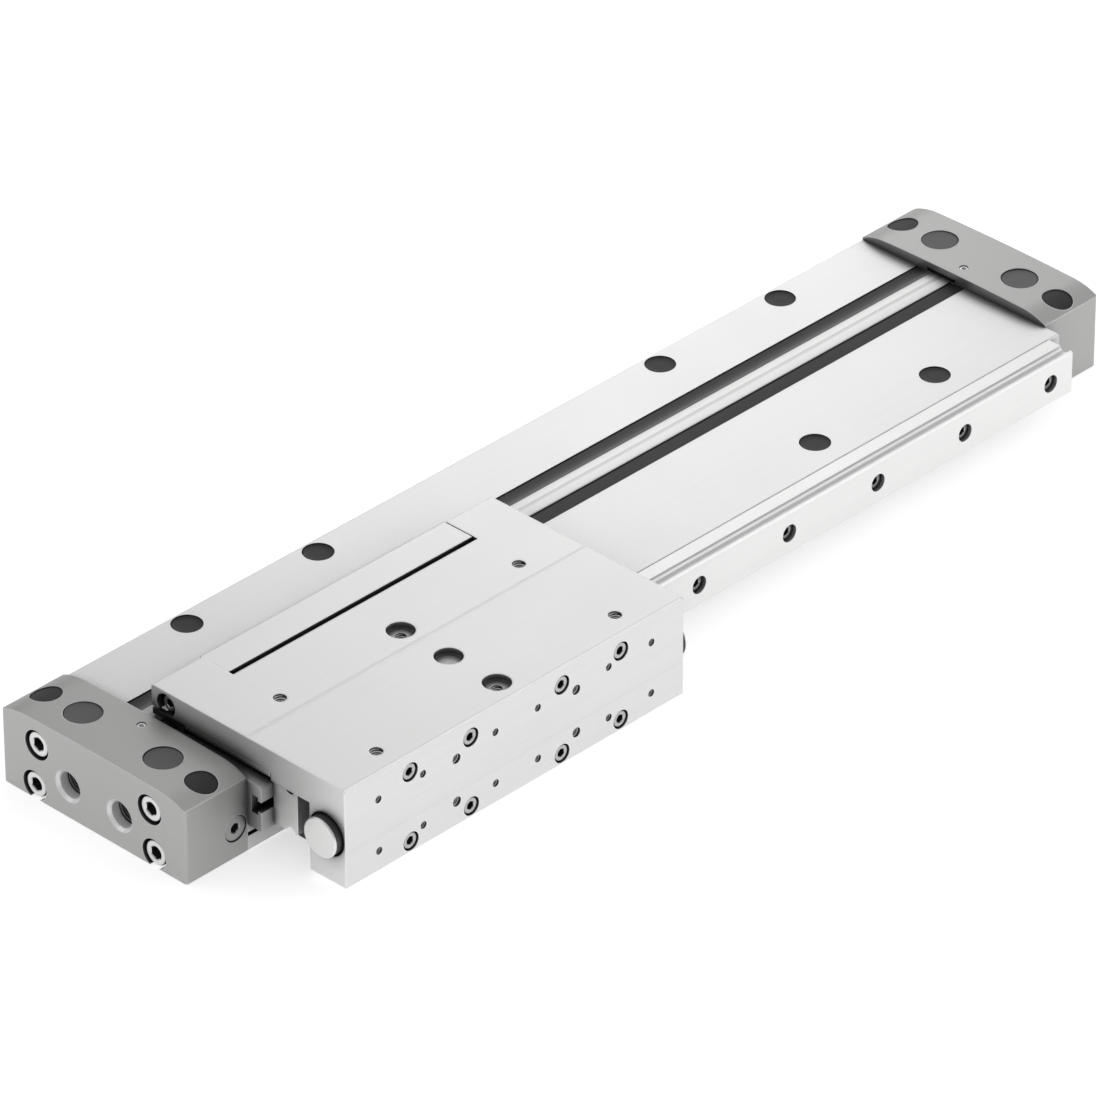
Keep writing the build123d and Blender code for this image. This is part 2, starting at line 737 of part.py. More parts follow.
    # Fine lines scored along the top and the side
    score_ends = Plane.YZ.offset(near_face)
    with BuildSketch(score_ends):
        with BuildLine():
            Polyline(
                (score_top_y - score_width / 2, carriage_top),
                (score_top_y, carriage_top - score_depth),
                (score_top_y + score_width / 2, carriage_top),
                close=True,
            )
        make_face()
        with BuildLine():
            Polyline(
                (-side_face, score_side_z - score_width / 2),
                (score_depth - side_face, score_side_z),
                (-side_face, score_side_z + score_width / 2),
                close=True,
            )
        make_face()
    extrude(amount=carriage_length, mode=Mode.SUBTRACT)
carriage_body.part.label = "carriage_body"
export_step(carriage_body.part, "parts/carriage_body.step")

# Wipers that clean the barrel and the band ahead of the carriage
with BuildPart() as band_wipers:
    for face_x, inward in ((near_face, 1), (far_face, -1)):
        with BuildSketch(Plane.YZ.offset(face_x)):
            with Locations((rib_right, barrel_height + running_gap)):
                Rectangle(
                    plate_left - rib_right - running_gap,
                    plate_bottom - barrel_height - running_gap,
                    align=(Align.MIN, Align.MIN),
                )
            with Locations((bore_y - band_width / 2 - running_gap, barrel_height)):
                Rectangle(
                    band_width,
                    band_thickness - strip_drop + running_gap,
                    align=(Align.MIN, Align.MIN),
                    mode=Mode.SUBTRACT,
                )
        extrude(amount=inward * wiper_thickness)
band_wipers.part.label = "band_wipers"
export_step(band_wipers.part, "parts/band_wipers.step")

# Ball blocks: a steel body whose lips reach into the rail's grooves, between plastic ends
lip_radius = rail_groove_radius - running_gap
block_centres = [carriage_x - block_offset, carriage_x + block_offset]


def block_outline(lips):
    """Outline of a block around the rail, with or without the lips that hold it there."""
    with BuildSketch() as outline:
        with Locations((-block_front, rail_z)):
            Rectangle(block_back - block_front, block_width, align=(Align.MAX, Align.CENTER))
        with Locations((-barrel_right, rail_z)):
            Rectangle(
                rail_height + block_rail_gap,
                rail_width + 2 * block_rail_gap,
                align=(Align.MAX, Align.CENTER),
                mode=Mode.SUBTRACT,
            )
        if lips:
            with Locations(*groove_centres):
                Circle(lip_radius)
    return outline.sketch


def bearing_block(centre):
    """The steel body of one block, with the threads that its screws hold it by."""
    with BuildPart() as block:
        with BuildSketch(Plane.YZ.offset(centre - block_length / 2)):
            add(block_outline(True))
        extrude(amount=block_length)
        with BuildSketch(Plane.XZ.offset(block_back)):
            with Locations(*[(centre + s * block_bolt_half, z) for s in (-1, 1) for z in block_bolt_z]):
                Circle(block_bolt_diameter / 2 + slip_gap)
        extrude(amount=-block_bolt_reach - running_gap, mode=Mode.SUBTRACT)
    return block.part


near_bearing_block = bearing_block(block_centres[0])
near_bearing_block.label = "near_bearing_block"
export_step(near_bearing_block, "parts/near_bearing_block.step")
far_bearing_block = bearing_block(block_centres[1])
far_bearing_block.label = "far_bearing_block"
export_step(far_bearing_block, "parts/far_bearing_block.step")

with BuildPart() as block_end_caps:
    for centre in block_centres:
        for side in (-1, 1):
            with BuildSketch(Plane.YZ.offset(centre + side * block_length / 2)):
                add(block_outline(False))
            extrude(amount=side * block_end_length)
block_end_caps.part.label = "block_end_caps"
export_step(block_end_caps.part, "parts/block_end_caps.step")

with BuildPart() as block_seals:
    for centre in block_centres:
        for side in (-1, 1):
            with BuildSketch(Plane.YZ.offset(centre + side * (block_length / 2 + block_end_length))):
                add(block_outline(True))
            extrude(amount=side * block_seal_thickness)
block_seals.part.label = "block_seals"
export_step(block_seals.part, "parts/block_seals.step")

block_bolt_seat = -side_face + block_bolt_sink_depth
block_bolt = socket_screw(
    block_bolt_head_diameter,
    block_bolt_head_height,
    block_bolt_diameter,
    -wall_inner + block_bolt_reach - block_bolt_seat,
    socket_m3,
)
with BuildPart() as block_screws:
    with seats([(x, block_bolt_seat, z) for x in block_bolt_x for z in block_bolt_z], (0, -1, 0)):
        add(block_bolt)
block_screws.part.label = "block_screws"
export_step(block_screws.part, "parts/block_screws.step")

# Stops: hardened pads on stems, proud of the side wall's two ends
stop_length = stop_proud + stop_sink_depth
with BuildPart() as stop_pads:
    for face_x, outward in ((near_face, -1), (far_face, 1)):
        with BuildSketch(Plane.YZ.offset(face_x - outward * stop_sink_depth)):
            with Locations((stop_y, rail_z)):
                Circle(stop_diameter / 2)
        extrude(amount=outward * stop_length)
        chamfer(stop_pads.edges().group_by(Axis.X)[-1 if outward > 0 else 0], stop_edge)
        with BuildSketch(Plane.YZ.offset(face_x - outward * stop_sink_depth)):
            with Locations((stop_y, rail_z)):
                Circle(stop_stem_diameter / 2)
        extrude(amount=-outward * stop_stem_length)
stop_pads.part.label = "stop_pads"
export_step(stop_pads.part, "parts/stop_pads.step")

# Driver: it fills the notch in the carriage, bridges the lifted outer band and sits on the yoke
driver_right = plate_left - driver_width
driver_section = [
    (driver_right, yoke_top),
    (driver_right, carriage_top),
    (plate_left, carriage_top),
    (plate_left, fairing_top),
    (fairing_left, fairing_bottom),
    (fairing_left, yoke_top),
    (bore_y + tunnel_half, yoke_top),
    (bore_y + tunnel_half, tunnel_top),
    (tunnel_right, tunnel_top),
    (tunnel_right, yoke_top),
]
pin_points = [(carriage_x + s * (driver_length / 2 - pin_inset), (driver_right + tunnel_right) / 2)
              for s in (-1, 1)]
with BuildPart() as driver:
    with BuildSketch(Plane.YZ.offset(notch_near)):
        with BuildLine():
            Polyline(*driver_section, close=True)
        make_face()
    extrude(amount=driver_length)
    with BuildSketch(Plane.XY.offset(yoke_top)):
        with Locations(*pin_points):
            Circle(pin_diameter / 2 + slip_gap)
    extrude(amount=pin_length - yoke_thickness + slip_gap, mode=Mode.SUBTRACT)
    for end_x, inward in ((notch_near, 1), (notch_near + driver_length, -1)):
        with BuildSketch(Plane.YZ.offset(end_x)):
            with Locations((end_screw_y, end_screw_z)):
                Circle(end_screw_diameter / 2 + slip_gap)
        extrude(amount=inward * (end_screw_reach + running_gap), mode=Mode.SUBTRACT)
driver.part.label = "driver"
export_step(driver.part, "parts/driver.step")

end_screw = socket_screw(
    end_screw_head_diameter,
    end_screw_head_height,
    end_screw_diameter,
    notch_near - near_face - end_screw_sink_depth + end_screw_reach,
    socket_m3,
)
with BuildPart() as driver_screws:
    with seats([(near_face + end_screw_sink_depth, end_screw_y, end_screw_z)], (-1, 0, 0)):
        add(end_screw)
    with seats([(far_face - end_screw_sink_depth, end_screw_y, end_screw_z)], (1, 0, 0)):
        add(end_screw)
driver_screws.part.label = "driver_screws"
export_step(driver_screws.part, "parts/driver_screws.step")

with BuildPart() as driver_pins:
    with BuildSketch(Plane.XY.offset(yoke_bottom)):
        with Locations(*pin_points):
            Circle(pin_diameter / 2)
    extrude(amount=pin_length)
driver_pins.part.label = "driver_pins"
export_step(driver_pins.part, "parts/driver_pins.step")

# Piston yoke: the piston's body in the bore, a web up through the slot and an arm above the barrel.
# The outer band is lifted over the arm, and the inner band is led down through the body.
piston_half = (barrel_length - stroke) / 2 - spigot_length - buffer_length - buffer_gap
body_half = piston_half - piston_head_length - magnet_length
body_radius = bore_diameter / 2 - piston_body_gap
inner_ramp_start = web_length / 2 + ramp_inset
inner_ramp_end = body_half - ramp_inset
with BuildPart() as piston_yoke:
    with BuildSketch(Plane.YZ.offset(carriage_x - body_half)):
        with Locations((bore_y, bore_z)):
            Circle(body_radius)
    extrude(amount=2 * body_half)
    with BuildSketch(Plane.XZ.offset(-bore_y)):
        with Locations((carriage_x, inner_tunnel_z)):
            Rectangle(web_length, inner_tunnel_height, align=(Align.CENTER, Align.MIN))
        for side in (-1, 1):
            with BuildLine():
                Polyline(
                    (carriage_x + side * web_length / 2, inner_tunnel_z),
                    (carriage_x + side * inner_ramp_start, inner_tunnel_z),
                    (carriage_x + side * inner_ramp_end, bore_top - band_float),
                    (carriage_x + side * body_half, bore_top - band_float),
                    (carriage_x + side * body_half, barrel_height),
                    (carriage_x + side * web_length / 2, barrel_height),
                    close=True,
                )
            make_face()
    extrude(amount=inner_tunnel_width / 2, both=True, mode=Mode.SUBTRACT)
    with BuildSketch(Plane.XY.offset(inner_tunnel_z + inner_tunnel_height)):
        with Locations((carriage_x, bore_y)):
            Rectangle(web_length, web_thickness)
    extrude(amount=yoke_top - inner_tunnel_z - inner_tunnel_height)
    with BuildSketch(Plane.XY.offset(yoke_bottom)):
        with Locations((carriage_x, (driver_right + fairing_left) / 2)):
            Rectangle(driver_length, fairing_left - driver_right)
    extrude(amount=yoke_thickness)
    for side in (-1, 1):
        with BuildSketch(Plane.YZ.offset(carriage_x + side * body_half)):
            with Locations((bore_y, bore_z)):
                Circle(piston_spigot_diameter / 2 + slip_gap)
        extrude(amount=-side * piston_spigot_length, mode=Mode.SUBTRACT)
    with BuildSketch(Plane.XY.offset(yoke_bottom)):
        with Locations(*pin_points):
            Circle(pin_diameter / 2 + slip_gap)
    extrude(amount=yoke_thickness, mode=Mode.SUBTRACT)
piston_yoke.part.label = "piston_yoke"
export_step(piston_yoke.part, "parts/piston_yoke.step")


def band_side(levels, thickness):
    """Side view of a band: its lower line through these (x, z) points, and its top above it."""
    lower = [(x, z) for x, z in levels]
    upper = [(x, z + thickness) for x, z in reversed(levels)]
    return lower + upper


# Outer band: clamped in both caps, held down by the strips and lifted over the yoke's arm
lift = yoke_top + band_float
outer_crest = driver_length / 2 + running_gap
outer_foot = outer_crest + outer_ramp_length
band_end = barrel_end + band_clamped_length - slip_gap
outer_levels = [
    (-band_end, band_bottom),
    (carriage_x - outer_foot, band_bottom),
    (carriage_x - outer_crest, lift),
    (carriage_x + outer_crest, lift),
    (carriage_x + outer_foot, band_bottom),
    (band_end, band_bottom),
]
with BuildPart() as outer_band:
    with BuildSketch(Plane.XZ.offset(-bore_y)):
        with BuildLine():
            Polyline(*band_side(outer_levels, band_thickness), close=True)
        make_face()
    extrude(amount=band_width / 2, both=True)
outer_band.part.label = "outer_band"
export_step(outer_band.part, "parts/outer_band.step")

# Inner band: seated along the roof of the bore and led down through the yoke
inner_seat = seat_top - inner_band_thickness
inner_low = inner_tunnel_z + band_float
inner_levels = [
    (-barrel_end, inner_seat),
    (carriage_x - inner_ramp_end, inner_seat),
    (carriage_x - inner_ramp_start, inner_low),
    (carriage_x + inner_ramp_start, inner_low),
    (carriage_x + inner_ramp_end, inner_seat),
    (barrel_end, inner_seat),
]
with BuildPart() as inner_band:
    with BuildSketch(Plane.XZ.offset(-bore_y)):
        with BuildLine():
            Polyline(*band_side(inner_levels, inner_band_thickness), close=True)
        make_face()
    extrude(amount=inner_band_width / 2, both=True)
inner_band.part.label = "inner_band"
export_step(inner_band.part, "parts/inner_band.step")

# Pistons at both ends of the yoke, each with its seal, guide ring and sensing magnet
piston_radius = bore_diameter / 2 - piston_head_gap
head_foot = body_half + magnet_length
seal_middle = piston_half - seal_inset
ring_middle = head_foot + guide_ring_inset
ring_outer = bore_diameter / 2 - slip_gap


def ring(plane, outer, inner, width):
    """A plain ring round the bore's axis, half its width to each side of the plane."""
    with BuildPart() as piece:
        with BuildSketch(plane):
            with Locations((bore_y, bore_z)):
                Circle(outer)
                Circle(inner, mode=Mode.SUBTRACT)
        extrude(amount=width / 2, both=True)
    return piece.part


def piston(side):
    """One piston, turned with two grooves and a spigot that enters the yoke."""
    with BuildPart() as head:
        with BuildSketch(Plane.YZ.offset(carriage_x + side * head_foot)):
            with Locations((bore_y, bore_z)):
                Circle(piston_radius)
        extrude(amount=side * piston_head_length)
        with BuildSketch(Plane.YZ.offset(carriage_x + side * head_foot)):
            with Locations((bore_y, bore_z)):
                Circle(piston_spigot_diameter / 2)
        extrude(amount=-side * (magnet_length + piston_spigot_length - running_gap))
        for middle, width, depth in (
            (seal_middle, seal_width, seal_depth),
            (ring_middle, guide_ring_width, guide_ring_depth),
        ):
            groove = Plane.YZ.offset(carriage_x + side * middle)
            add(ring(groove, bore_diameter / 2, piston_radius - depth, width), mode=Mode.SUBTRACT)
    return head.part


near_piston = piston(-1)
near_piston.label = "near_piston"
export_step(near_piston, "parts/near_piston.step")
far_piston = piston(1)
far_piston.label = "far_piston"
export_step(far_piston, "parts/far_piston.step")

with BuildPart() as piston_seals:
    for side in (-1, 1):
        groove = Plane.YZ.offset(carriage_x + side * seal_middle)
        add(ring(groove, ring_outer, piston_radius - seal_depth, seal_width - 2 * slip_gap))
piston_seals.part.label = "piston_seals"
export_step(piston_seals.part, "parts/piston_seals.step")

with BuildPart() as guide_rings:
    for side in (-1, 1):
        groove = Plane.YZ.offset(carriage_x + side * ring_middle)
        add(ring(groove, ring_outer, piston_radius - guide_ring_depth, guide_ring_width - 2 * slip_gap))
guide_rings.part.label = "guide_rings"
export_step(guide_rings.part, "parts/guide_rings.step")

with BuildPart() as piston_magnets:
    for side in (-1, 1):
        middle = Plane.YZ.offset(carriage_x + side * (body_half + magnet_length / 2))
        add(ring(middle, body_radius, piston_spigot_diameter / 2 + slip_gap, magnet_length))
piston_magnets.part.label = "piston_magnets"
export_step(piston_magnets.part, "parts/piston_magnets.step")
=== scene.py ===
"""Looks of a flat pneumatic linear drive: a slotted barrel between two arched end caps, with a
carriage that a rail on the barrel's right side guides.

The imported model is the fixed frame, in metres. X runs along the stroke, Y across and Z up. Shapes
are worked out in millimetres until a mesh is made; finishes, lamps and camera are in metres.
"""

import json
import math
from collections import namedtuple

import bpy
import numpy as np
from bpy.props import FloatProperty, FloatVectorProperty, PointerProperty
from mathutils import Matrix, Vector


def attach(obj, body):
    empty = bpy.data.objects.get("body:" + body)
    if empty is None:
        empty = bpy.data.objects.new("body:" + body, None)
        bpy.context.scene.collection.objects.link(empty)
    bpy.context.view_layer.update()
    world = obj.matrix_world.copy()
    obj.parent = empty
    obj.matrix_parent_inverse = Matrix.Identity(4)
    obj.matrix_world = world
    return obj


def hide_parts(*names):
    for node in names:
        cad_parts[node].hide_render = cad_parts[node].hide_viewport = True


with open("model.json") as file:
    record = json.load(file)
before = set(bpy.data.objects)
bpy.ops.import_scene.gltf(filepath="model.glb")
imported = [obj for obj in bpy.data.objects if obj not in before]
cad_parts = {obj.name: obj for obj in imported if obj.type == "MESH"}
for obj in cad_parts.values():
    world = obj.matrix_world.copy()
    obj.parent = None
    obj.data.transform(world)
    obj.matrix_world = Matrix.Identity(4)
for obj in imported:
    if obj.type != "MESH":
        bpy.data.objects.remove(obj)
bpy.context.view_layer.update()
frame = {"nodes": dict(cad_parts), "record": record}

bl_info = {
    "name": "Pneumatic linear drive",
    "version": (1, 0, 0),
    "blender": (4, 5, 0),
    "location": "3D View > Sidebar > Linear drive",
    "description": "Finishes, screws, seals and studio of a flat pneumatic linear drive",
    "category": "Object",
}

MM = 0.001
STEPS = 72                      # points round a turned piece
SHARP = math.radians(32)        # faces that meet at more than this show an edge
BOTH = (-1, 1)
UP = (0, 0, 1)
RIGHT = (0, -1, 0)              # towards the side with the rail

# Places on the drive, in millimetres
BARREL_END = 175.0
BARREL_TOP = 24.7
BORE_Y = 5.1                    # middle of the bore, the slot and the band
RAIL_Z = 17.7                   # middle height of the rail, and of the carriage's side
CARRIAGE_X = -100.0             # middle of the carriage at rest
NEAR_FACE = -171.0              # the carriage's two end faces
FAR_FACE = -29.0
LOAD_Y = -47.6                  # middle line of the threads in the carriage's top
BAND_HALF = 4.1
STRIP_INNER = 2.0               # from the slot's middle to a strip
STRIP_WIDTH = 8.2
LIP_ROOT = 28.08                # the wiping lips' upper end, just inside the plate

# Socket head screws: sizes of the head, shank and socket, in millimetres
SMALL_HEAD = {"head": 5.5, "height": 3.0, "shank": 3.0, "flats": 2.5}
CAP_SCREW = {"head": 8.5, "height": 5.0, "shank": 5.0, "flats": 4.0, "length": 33.4}
RAIL_SCREW = {**SMALL_HEAD, "length": 9.2}
BLOCK_SCREW = {**SMALL_HEAD, "length": 16.3}
DRIVER_SCREW = {**SMALL_HEAD, "length": 21.5}

# Painted shade that darkens a finish's colour in hollows, in gaps and beside taller neighbours:
# reach of the search in metres, least tone, openness at which the tone begins to rise, and share
# of the wide painted shade beside taller neighbours
PaintedShade = namedtuple("PaintedShade", "reach least first share", defaults=(0.006, 0.14, 0.45, 0.5))

# How a grain is drawn out: scale of its pattern along X, Y and Z
LENGTHWAYS = (0.02, 1.0, 1.0)
UPRIGHT = (1.0, 1.0, 0.04)

# Painted light and shade across a piece: a place from 0, its right edge, to 1, its left edge, and
# the tone there. The strips share one scale: 0 is the right one's edge at the slot, 0.5 the outer
# edge of both, and 1 the left one's edge at the slot. The band has painted shade along its middle
# line and at its left edge; the right strip has painted shade all over, and the left one a painted
# light that grows towards the slot.
BAND_SHADE_TONES = ((0.0, 1.0), (0.36, 1.0), (0.46, 0.83), (0.54, 0.83), (0.64, 1.0), (1.0, 0.95))
STRIP_LIGHT_AND_SHADE = ((0.0, 0.1), (0.5, 0.1), (0.62, 0.12), (0.74, 0.3), (0.86, 1.0), (1.0, 1.0))

FINISH_BY_SLOT = {
    "light_anodised_aluminium": "anodised_aluminium",
    "grey_cast_aluminium": "cap_aluminium",
    "bright_steel": "plated_steel",
    "ground_steel": "rail_steel",
    "black_plastic": "moulded_plastic",
    "seal_rubber": "smooth_rubber",
    "grey_plug": "plug_plastic",
    "cover_band": "band_steel",
    "magnet": "smooth_rubber",
}

# CAD nodes whose finish differs from that of their slot
FINISH_BY_NODE = {
    "carriage_body": "anodised_carriage",
    "driver": "anodised_carriage",
    "cap_hole_covers": "cover_plastic",
}

# Lamps: place in metres, width of the square, and the studio setting that holds the power
LAMPS = {
    "side_lamp": ((1.0, -0.95, 1.0), 0.8, "side"),
    "back_lamp": ((1.3, 0.5, 0.45), 0.7, "back"),
    "sheen_lamp": ((0.5, 0.49, 0.44), 0.35, "sheen"),
    "front_lamp": ((-0.9, 0.95, 1.0), 1.1, "front"),
}


# Shapes: each gives points, faces, and a number for each point that a finish follows

def turned(profile):
    """A closed turned solid round the Z axis, from rows of height and radius.

    A row's radius is one number, or one for each angle. Point (i, j) is (r cos a, r sin a, h) with
    a = 2 pi j / STEPS. The first and last rows are poles. Each point's number is its distance from
    the axis, which the turning marks follow.
    """
    angle = 2 * np.pi * np.arange(STEPS) / STEPS
    rows = np.array([np.broadcast_to(r, STEPS) for _, r in profile[1:-1]], float)
    level = np.array([h for h, _ in profile[1:-1]], float)[:, None]
    ring = [rows * np.cos(angle), rows * np.sin(angle), np.broadcast_to(level, rows.shape)]
    foot, top = [[0, 0, profile[0][0]]], [[0, 0, profile[-1][0]]]
    points = np.concatenate([foot, np.stack(ring, -1).reshape(-1, 3), top])
    count = len(rows)
    i, j = np.meshgrid(np.arange(count - 1), np.arange(STEPS), indexing="ij")
    k = (j + 1) % STEPS
    quads = np.stack([i * STEPS + j, i * STEPS + k, (i + 1) * STEPS + k, (i + 1) * STEPS + j], -1)
    j = np.arange(STEPS)
    k = (j + 1) % STEPS
    last = 1 + (count - 1) * STEPS
    low_fan = np.stack([np.zeros_like(j), 1 + k, 1 + j], -1)
    high_fan = np.stack([last + j, last + k, np.full_like(j, len(points) - 1)], -1)
    faces = (1 + quads).reshape(-1, 4).tolist() + low_fan.tolist() + high_fan.tolist()
    return points, faces, np.hypot(points[:, 0], points[:, 1])


def carried(section, stations, across=None):
    """A closed section in (y, z), counter-clockwise as seen from +X, carried along X.

    Point (i, j) is (station i, y j, z j). Both ends are closed by a fan round the section's middle.
    Across gives each point of the section its place across the strip, from -1 to 1.
    """
    section = np.asarray(section, float)
    stations = np.asarray(stations, float)
    n, m = len(stations), len(section)
    points = np.empty((n, m, 3))
    points[:, :, 0] = stations[:, None]
    points[:, :, 1:] = section[None]
    middle = section.mean(0)
    ends = np.array([[stations[0], *middle], [stations[-1], *middle]])
    points = np.concatenate([points.reshape(-1, 3), ends])
    i, j = np.meshgrid(np.arange(n - 1), np.arange(m), indexing="ij")
    k = (j + 1) % m
    quads = np.stack([i * m + j, i * m + k, (i + 1) * m + k, (i + 1) * m + j], -1)
    j = np.arange(m)
    k = (j + 1) % m
    foot = np.stack([k, j, np.full_like(j, n * m)], -1)
    top = np.stack([(n - 1) * m + j, (n - 1) * m + k, np.full_like(j, n * m + 1)], -1)
    place = np.zeros(len(points))
    if across is not None:
        place[:n * m] = np.tile(across, n)
    return points, quads.reshape(-1, 4).tolist() + foot.tolist() + top.tolist(), place


def thread(radius, pitch, length, depth, per_turn=24):
    """An inner thread's ridge: a three-cornered section carried along a helix.

    Station i stands at angle a = 2 pi i / per_turn and height -pitch a / (2 pi). The section's foot
    lies just outside the hole's wall and its tip at depth inside it. The tip shrinks to the wall at
    both ends of the helix, so the thread runs out smoothly.
    """
    sunk, half_foot = 0.04, 0.42
    count = int(length / pitch * per_turn) + 1
    angle = 2 * np.pi * np.arange(count) / per_turn
    run_out = np.clip(np.minimum(angle, angle[-1] - angle) / np.pi, 0.02, 1)
    foot = np.full(count, radius + sunk)
    reach = np.stack([foot, foot - (depth + sunk) * run_out, foot], -1)
    offset = np.array([-half_foot, 0.0, half_foot]) * pitch
    level = -pitch * angle[:, None] / (2 * np.pi) - pitch / 2 + offset[None]
    points = np.stack([reach * np.cos(angle)[:, None], reach * np.sin(angle)[:, None], level], -1)
    i, j = np.meshgrid(np.arange(count - 1), np.arange(3), indexing="ij")
    k = (j + 1) % 3
    quads = np.stack([i * 3 + k, i * 3 + j, (i + 1) * 3 + j, (i + 1) * 3 + k], -1)
    end = (count - 1) * 3
    faces = quads.reshape(-1, 4).tolist() + [[0, 1, 2], [end + 2, end + 1, end]]
    return points.reshape(-1, 3), faces, np.zeros(count * 3)


def lining(profile):
    """A thin ring round the Z axis, from the heights and radii of its closed section.

    The section goes up its outside and down its inside. Point (i, j) is (r i cos a, r i sin a, h i)
    with a = 2 pi j / STEPS; both i and j run round.
    """
    angle = 2 * np.pi * np.arange(STEPS) / STEPS
    count = len(profile)
    h, r = np.array(profile, float).T[:, :, None]
    level = np.broadcast_to(h, (count, STEPS))
    points = np.stack([r * np.cos(angle), r * np.sin(angle), level], -1)
    i, j = np.meshgrid(np.arange(count), np.arange(STEPS), indexing="ij")
    k, up = (j + 1) % STEPS, (i + 1) % count
    quads = np.stack([i * STEPS + j, i * STEPS + k, up * STEPS + k, up * STEPS + j], -1)
    return points.reshape(-1, 3), quads.reshape(-1, 4).tolist(), np.zeros(count * STEPS)


def stood(solid, seats, axis):
    """Copies of a solid at each of the seats, its own Z axis turned to the given axis."""
    z = np.asarray(axis, float)
    x = np.cross([0.0, 0.0, 1.0] if abs(z[2]) < 0.5 else [0.0, 1.0, 0.0], z)
    x /= np.linalg.norm(x)
    turn = np.stack([x, np.cross(z, x), z], -1)
    points, faces, reach = solid
    return gathered([(points @ turn.T + np.asarray(seat, float), faces, reach) for seat in seats])


def gathered(solids):
    """Several solids as one: their points in one array and their faces renumbered."""
    points, faces, reaches, start = [], [], [], 0
    for spots, rows, reach in solids:
        points.append(spots)
        faces.extend([[start + n for n in row] for row in rows])
        reaches.append(reach)
        start += len(spots)
    return np.concatenate(points), faces, np.concatenate(reaches)


def at_carriage_ends(solid, inset, y, z):
    """A solid on each end face of the carriage, sunk by the inset and turned outwards."""
    return gathered([stood(solid, [(NEAR_FACE + inset, y, z)], (-1, 0, 0)),
                     stood(solid, [(FAR_FACE - inset, y, z)], (1, 0, 0))])


def rounded(height, radius, soft):
    """Rows of a rim rounded by a quarter circle, up to this height and inwards from this radius.

    With a from 0 to pi / 2, the height is h - s + s sin a and the radius r - s + s cos a.
    """
    angle = np.linspace(0, np.pi / 2, 5)
    return list(zip(height - soft + soft * np.sin(angle), radius - soft + soft * np.cos(angle)))


def across_flats(flats):
    """Radius of a hexagon at each angle: half its flats over the cosine from a flat's middle."""
    angle = 2 * np.pi * np.arange(STEPS) / STEPS
    return flats / 2 / np.cos((angle + np.pi / 6) % (np.pi / 3) - np.pi / 6)


def socket_rim(flats):
    """Radius of a socket's countersunk rim, a little outside the hexagon's corners."""
    return flats / 2 / math.cos(math.pi / 6) * 1.07


def socket_rows(top, flats, depth):
    """Rows of a hexagon socket: countersunk rim, six straight walls and a drilled cone."""
    wall, floor = across_flats(flats), top - depth
    return [(top, socket_rim(flats)), (top - 0.16 * flats / 2, wall), (floor, wall),
            (floor, wall * 0.6), (floor - 0.12 * flats, 0.0)]


def socket_screw(head, height, shank, flats, length, look):
    """A socket head screw: pointed shank, knurled head with a rounded rim, and a hexagon socket.

    The head's foot is at height nil. The knurl moves every other point of its wall inwards.
    """
    radius, rim = head / 2, look.rim * head
    knurl = radius - look.knurl * (np.arange(STEPS) % 2)
    point = [(-length, 0), (-length, 0.36 * shank), (-length + 0.15 * shank, shank / 2)]
    foot = [(0, shank / 2), (0, 0.47 * head), (0.08 * height, radius)]
    wall = [(0.12 * height, knurl), (height - rim - 0.1, knurl), *rounded(height, radius, rim)]
    top = [(height, (socket_rim(flats) + radius - rim) / 2)]
    socket = socket_rows(height, flats, look.socket_depth * height)
    return turned(point + foot + wall + top + socket)


def socket_plug(radius, length, flats, chamfer):
    """A headless plug, chamfered at both ends, with a hexagon socket; its top is at height nil."""
    body = [(-length, 0), (-length, radius - chamfer), (-length + chamfer, radius),
            (-chamfer, radius), (0, radius - chamfer)]
    return turned(body + socket_rows(0.0, flats, 0.6 * length))


def disc(radius, thickness, rim, dish):
    """A moulded disc, soft at its edge, with a shallow dish in a flat rim; its top is at nil."""
    soft, flat = 0.22, radius - rim
    wall = [(-thickness, 0), (-thickness, radius - soft), (-thickness + soft, radius)]
    hollow = [(0, flat), (-dish * 0.5, flat - 0.12), (-dish, flat - 0.3),
              (-dish * 0.98, radius * 0.4), (-dish * 0.9, 0)]
    return turned(wall + rounded(0, radius, soft) + hollow)


def stop_face(look):
    """A stop's hard face: a thin disc with a chamfer, on top of its buffer."""
    radius, proud, thickness, chamfer = 6.6, 3.0, 0.7, look.stop_chamfer
    flat = radius - chamfer
    return turned([(proud - thickness, 0), (proud - thickness, radius), (proud - chamfer, radius),
                   (proud, flat), (proud, flat - 0.5), (proud - 0.02, 0)])


def stop_buffer():
    """A stop's buffer: a stem in its hole and a pad with a chamfered foot, up to the hard face."""
    radius, proud, sunk, stem, end = 6.5, 2.32, -3.0, 4.0, -17.0
    return turned([(end, 0), (end, stem - 0.8), (end + 0.8, stem), (sunk, stem),
                   (sunk, radius - 0.3), (sunk + 0.3, radius), (proud, radius), (proud, 0)])


def band_section(look):
    """Section of the outer band: a low roof, a fine groove along its middle, and a flat foot.

    With s from -1 to 1 across the band, the top is crest - arch s^2 less a groove exp(-(s / w)^2),
    and the last part of each edge rounds down to the foot.
    """
    foot, crest = 24.72, 25.34
    s = np.cos(np.linspace(0, np.pi, 49))
    groove = look.groove_depth * np.exp(-((s * BAND_HALF / look.groove_width) ** 2))
    edge = 0.22 * np.clip((np.abs(s) - 0.93) / 0.07, 0, 1) ** 2
    top = crest - look.arch * s**2 - groove - edge
    roof = np.stack([BORE_Y + BAND_HALF * s, top], -1)
    floor = np.array([[BORE_Y - BAND_HALF, foot], [BORE_Y + BAND_HALF, foot]])
    return np.concatenate([roof, floor])


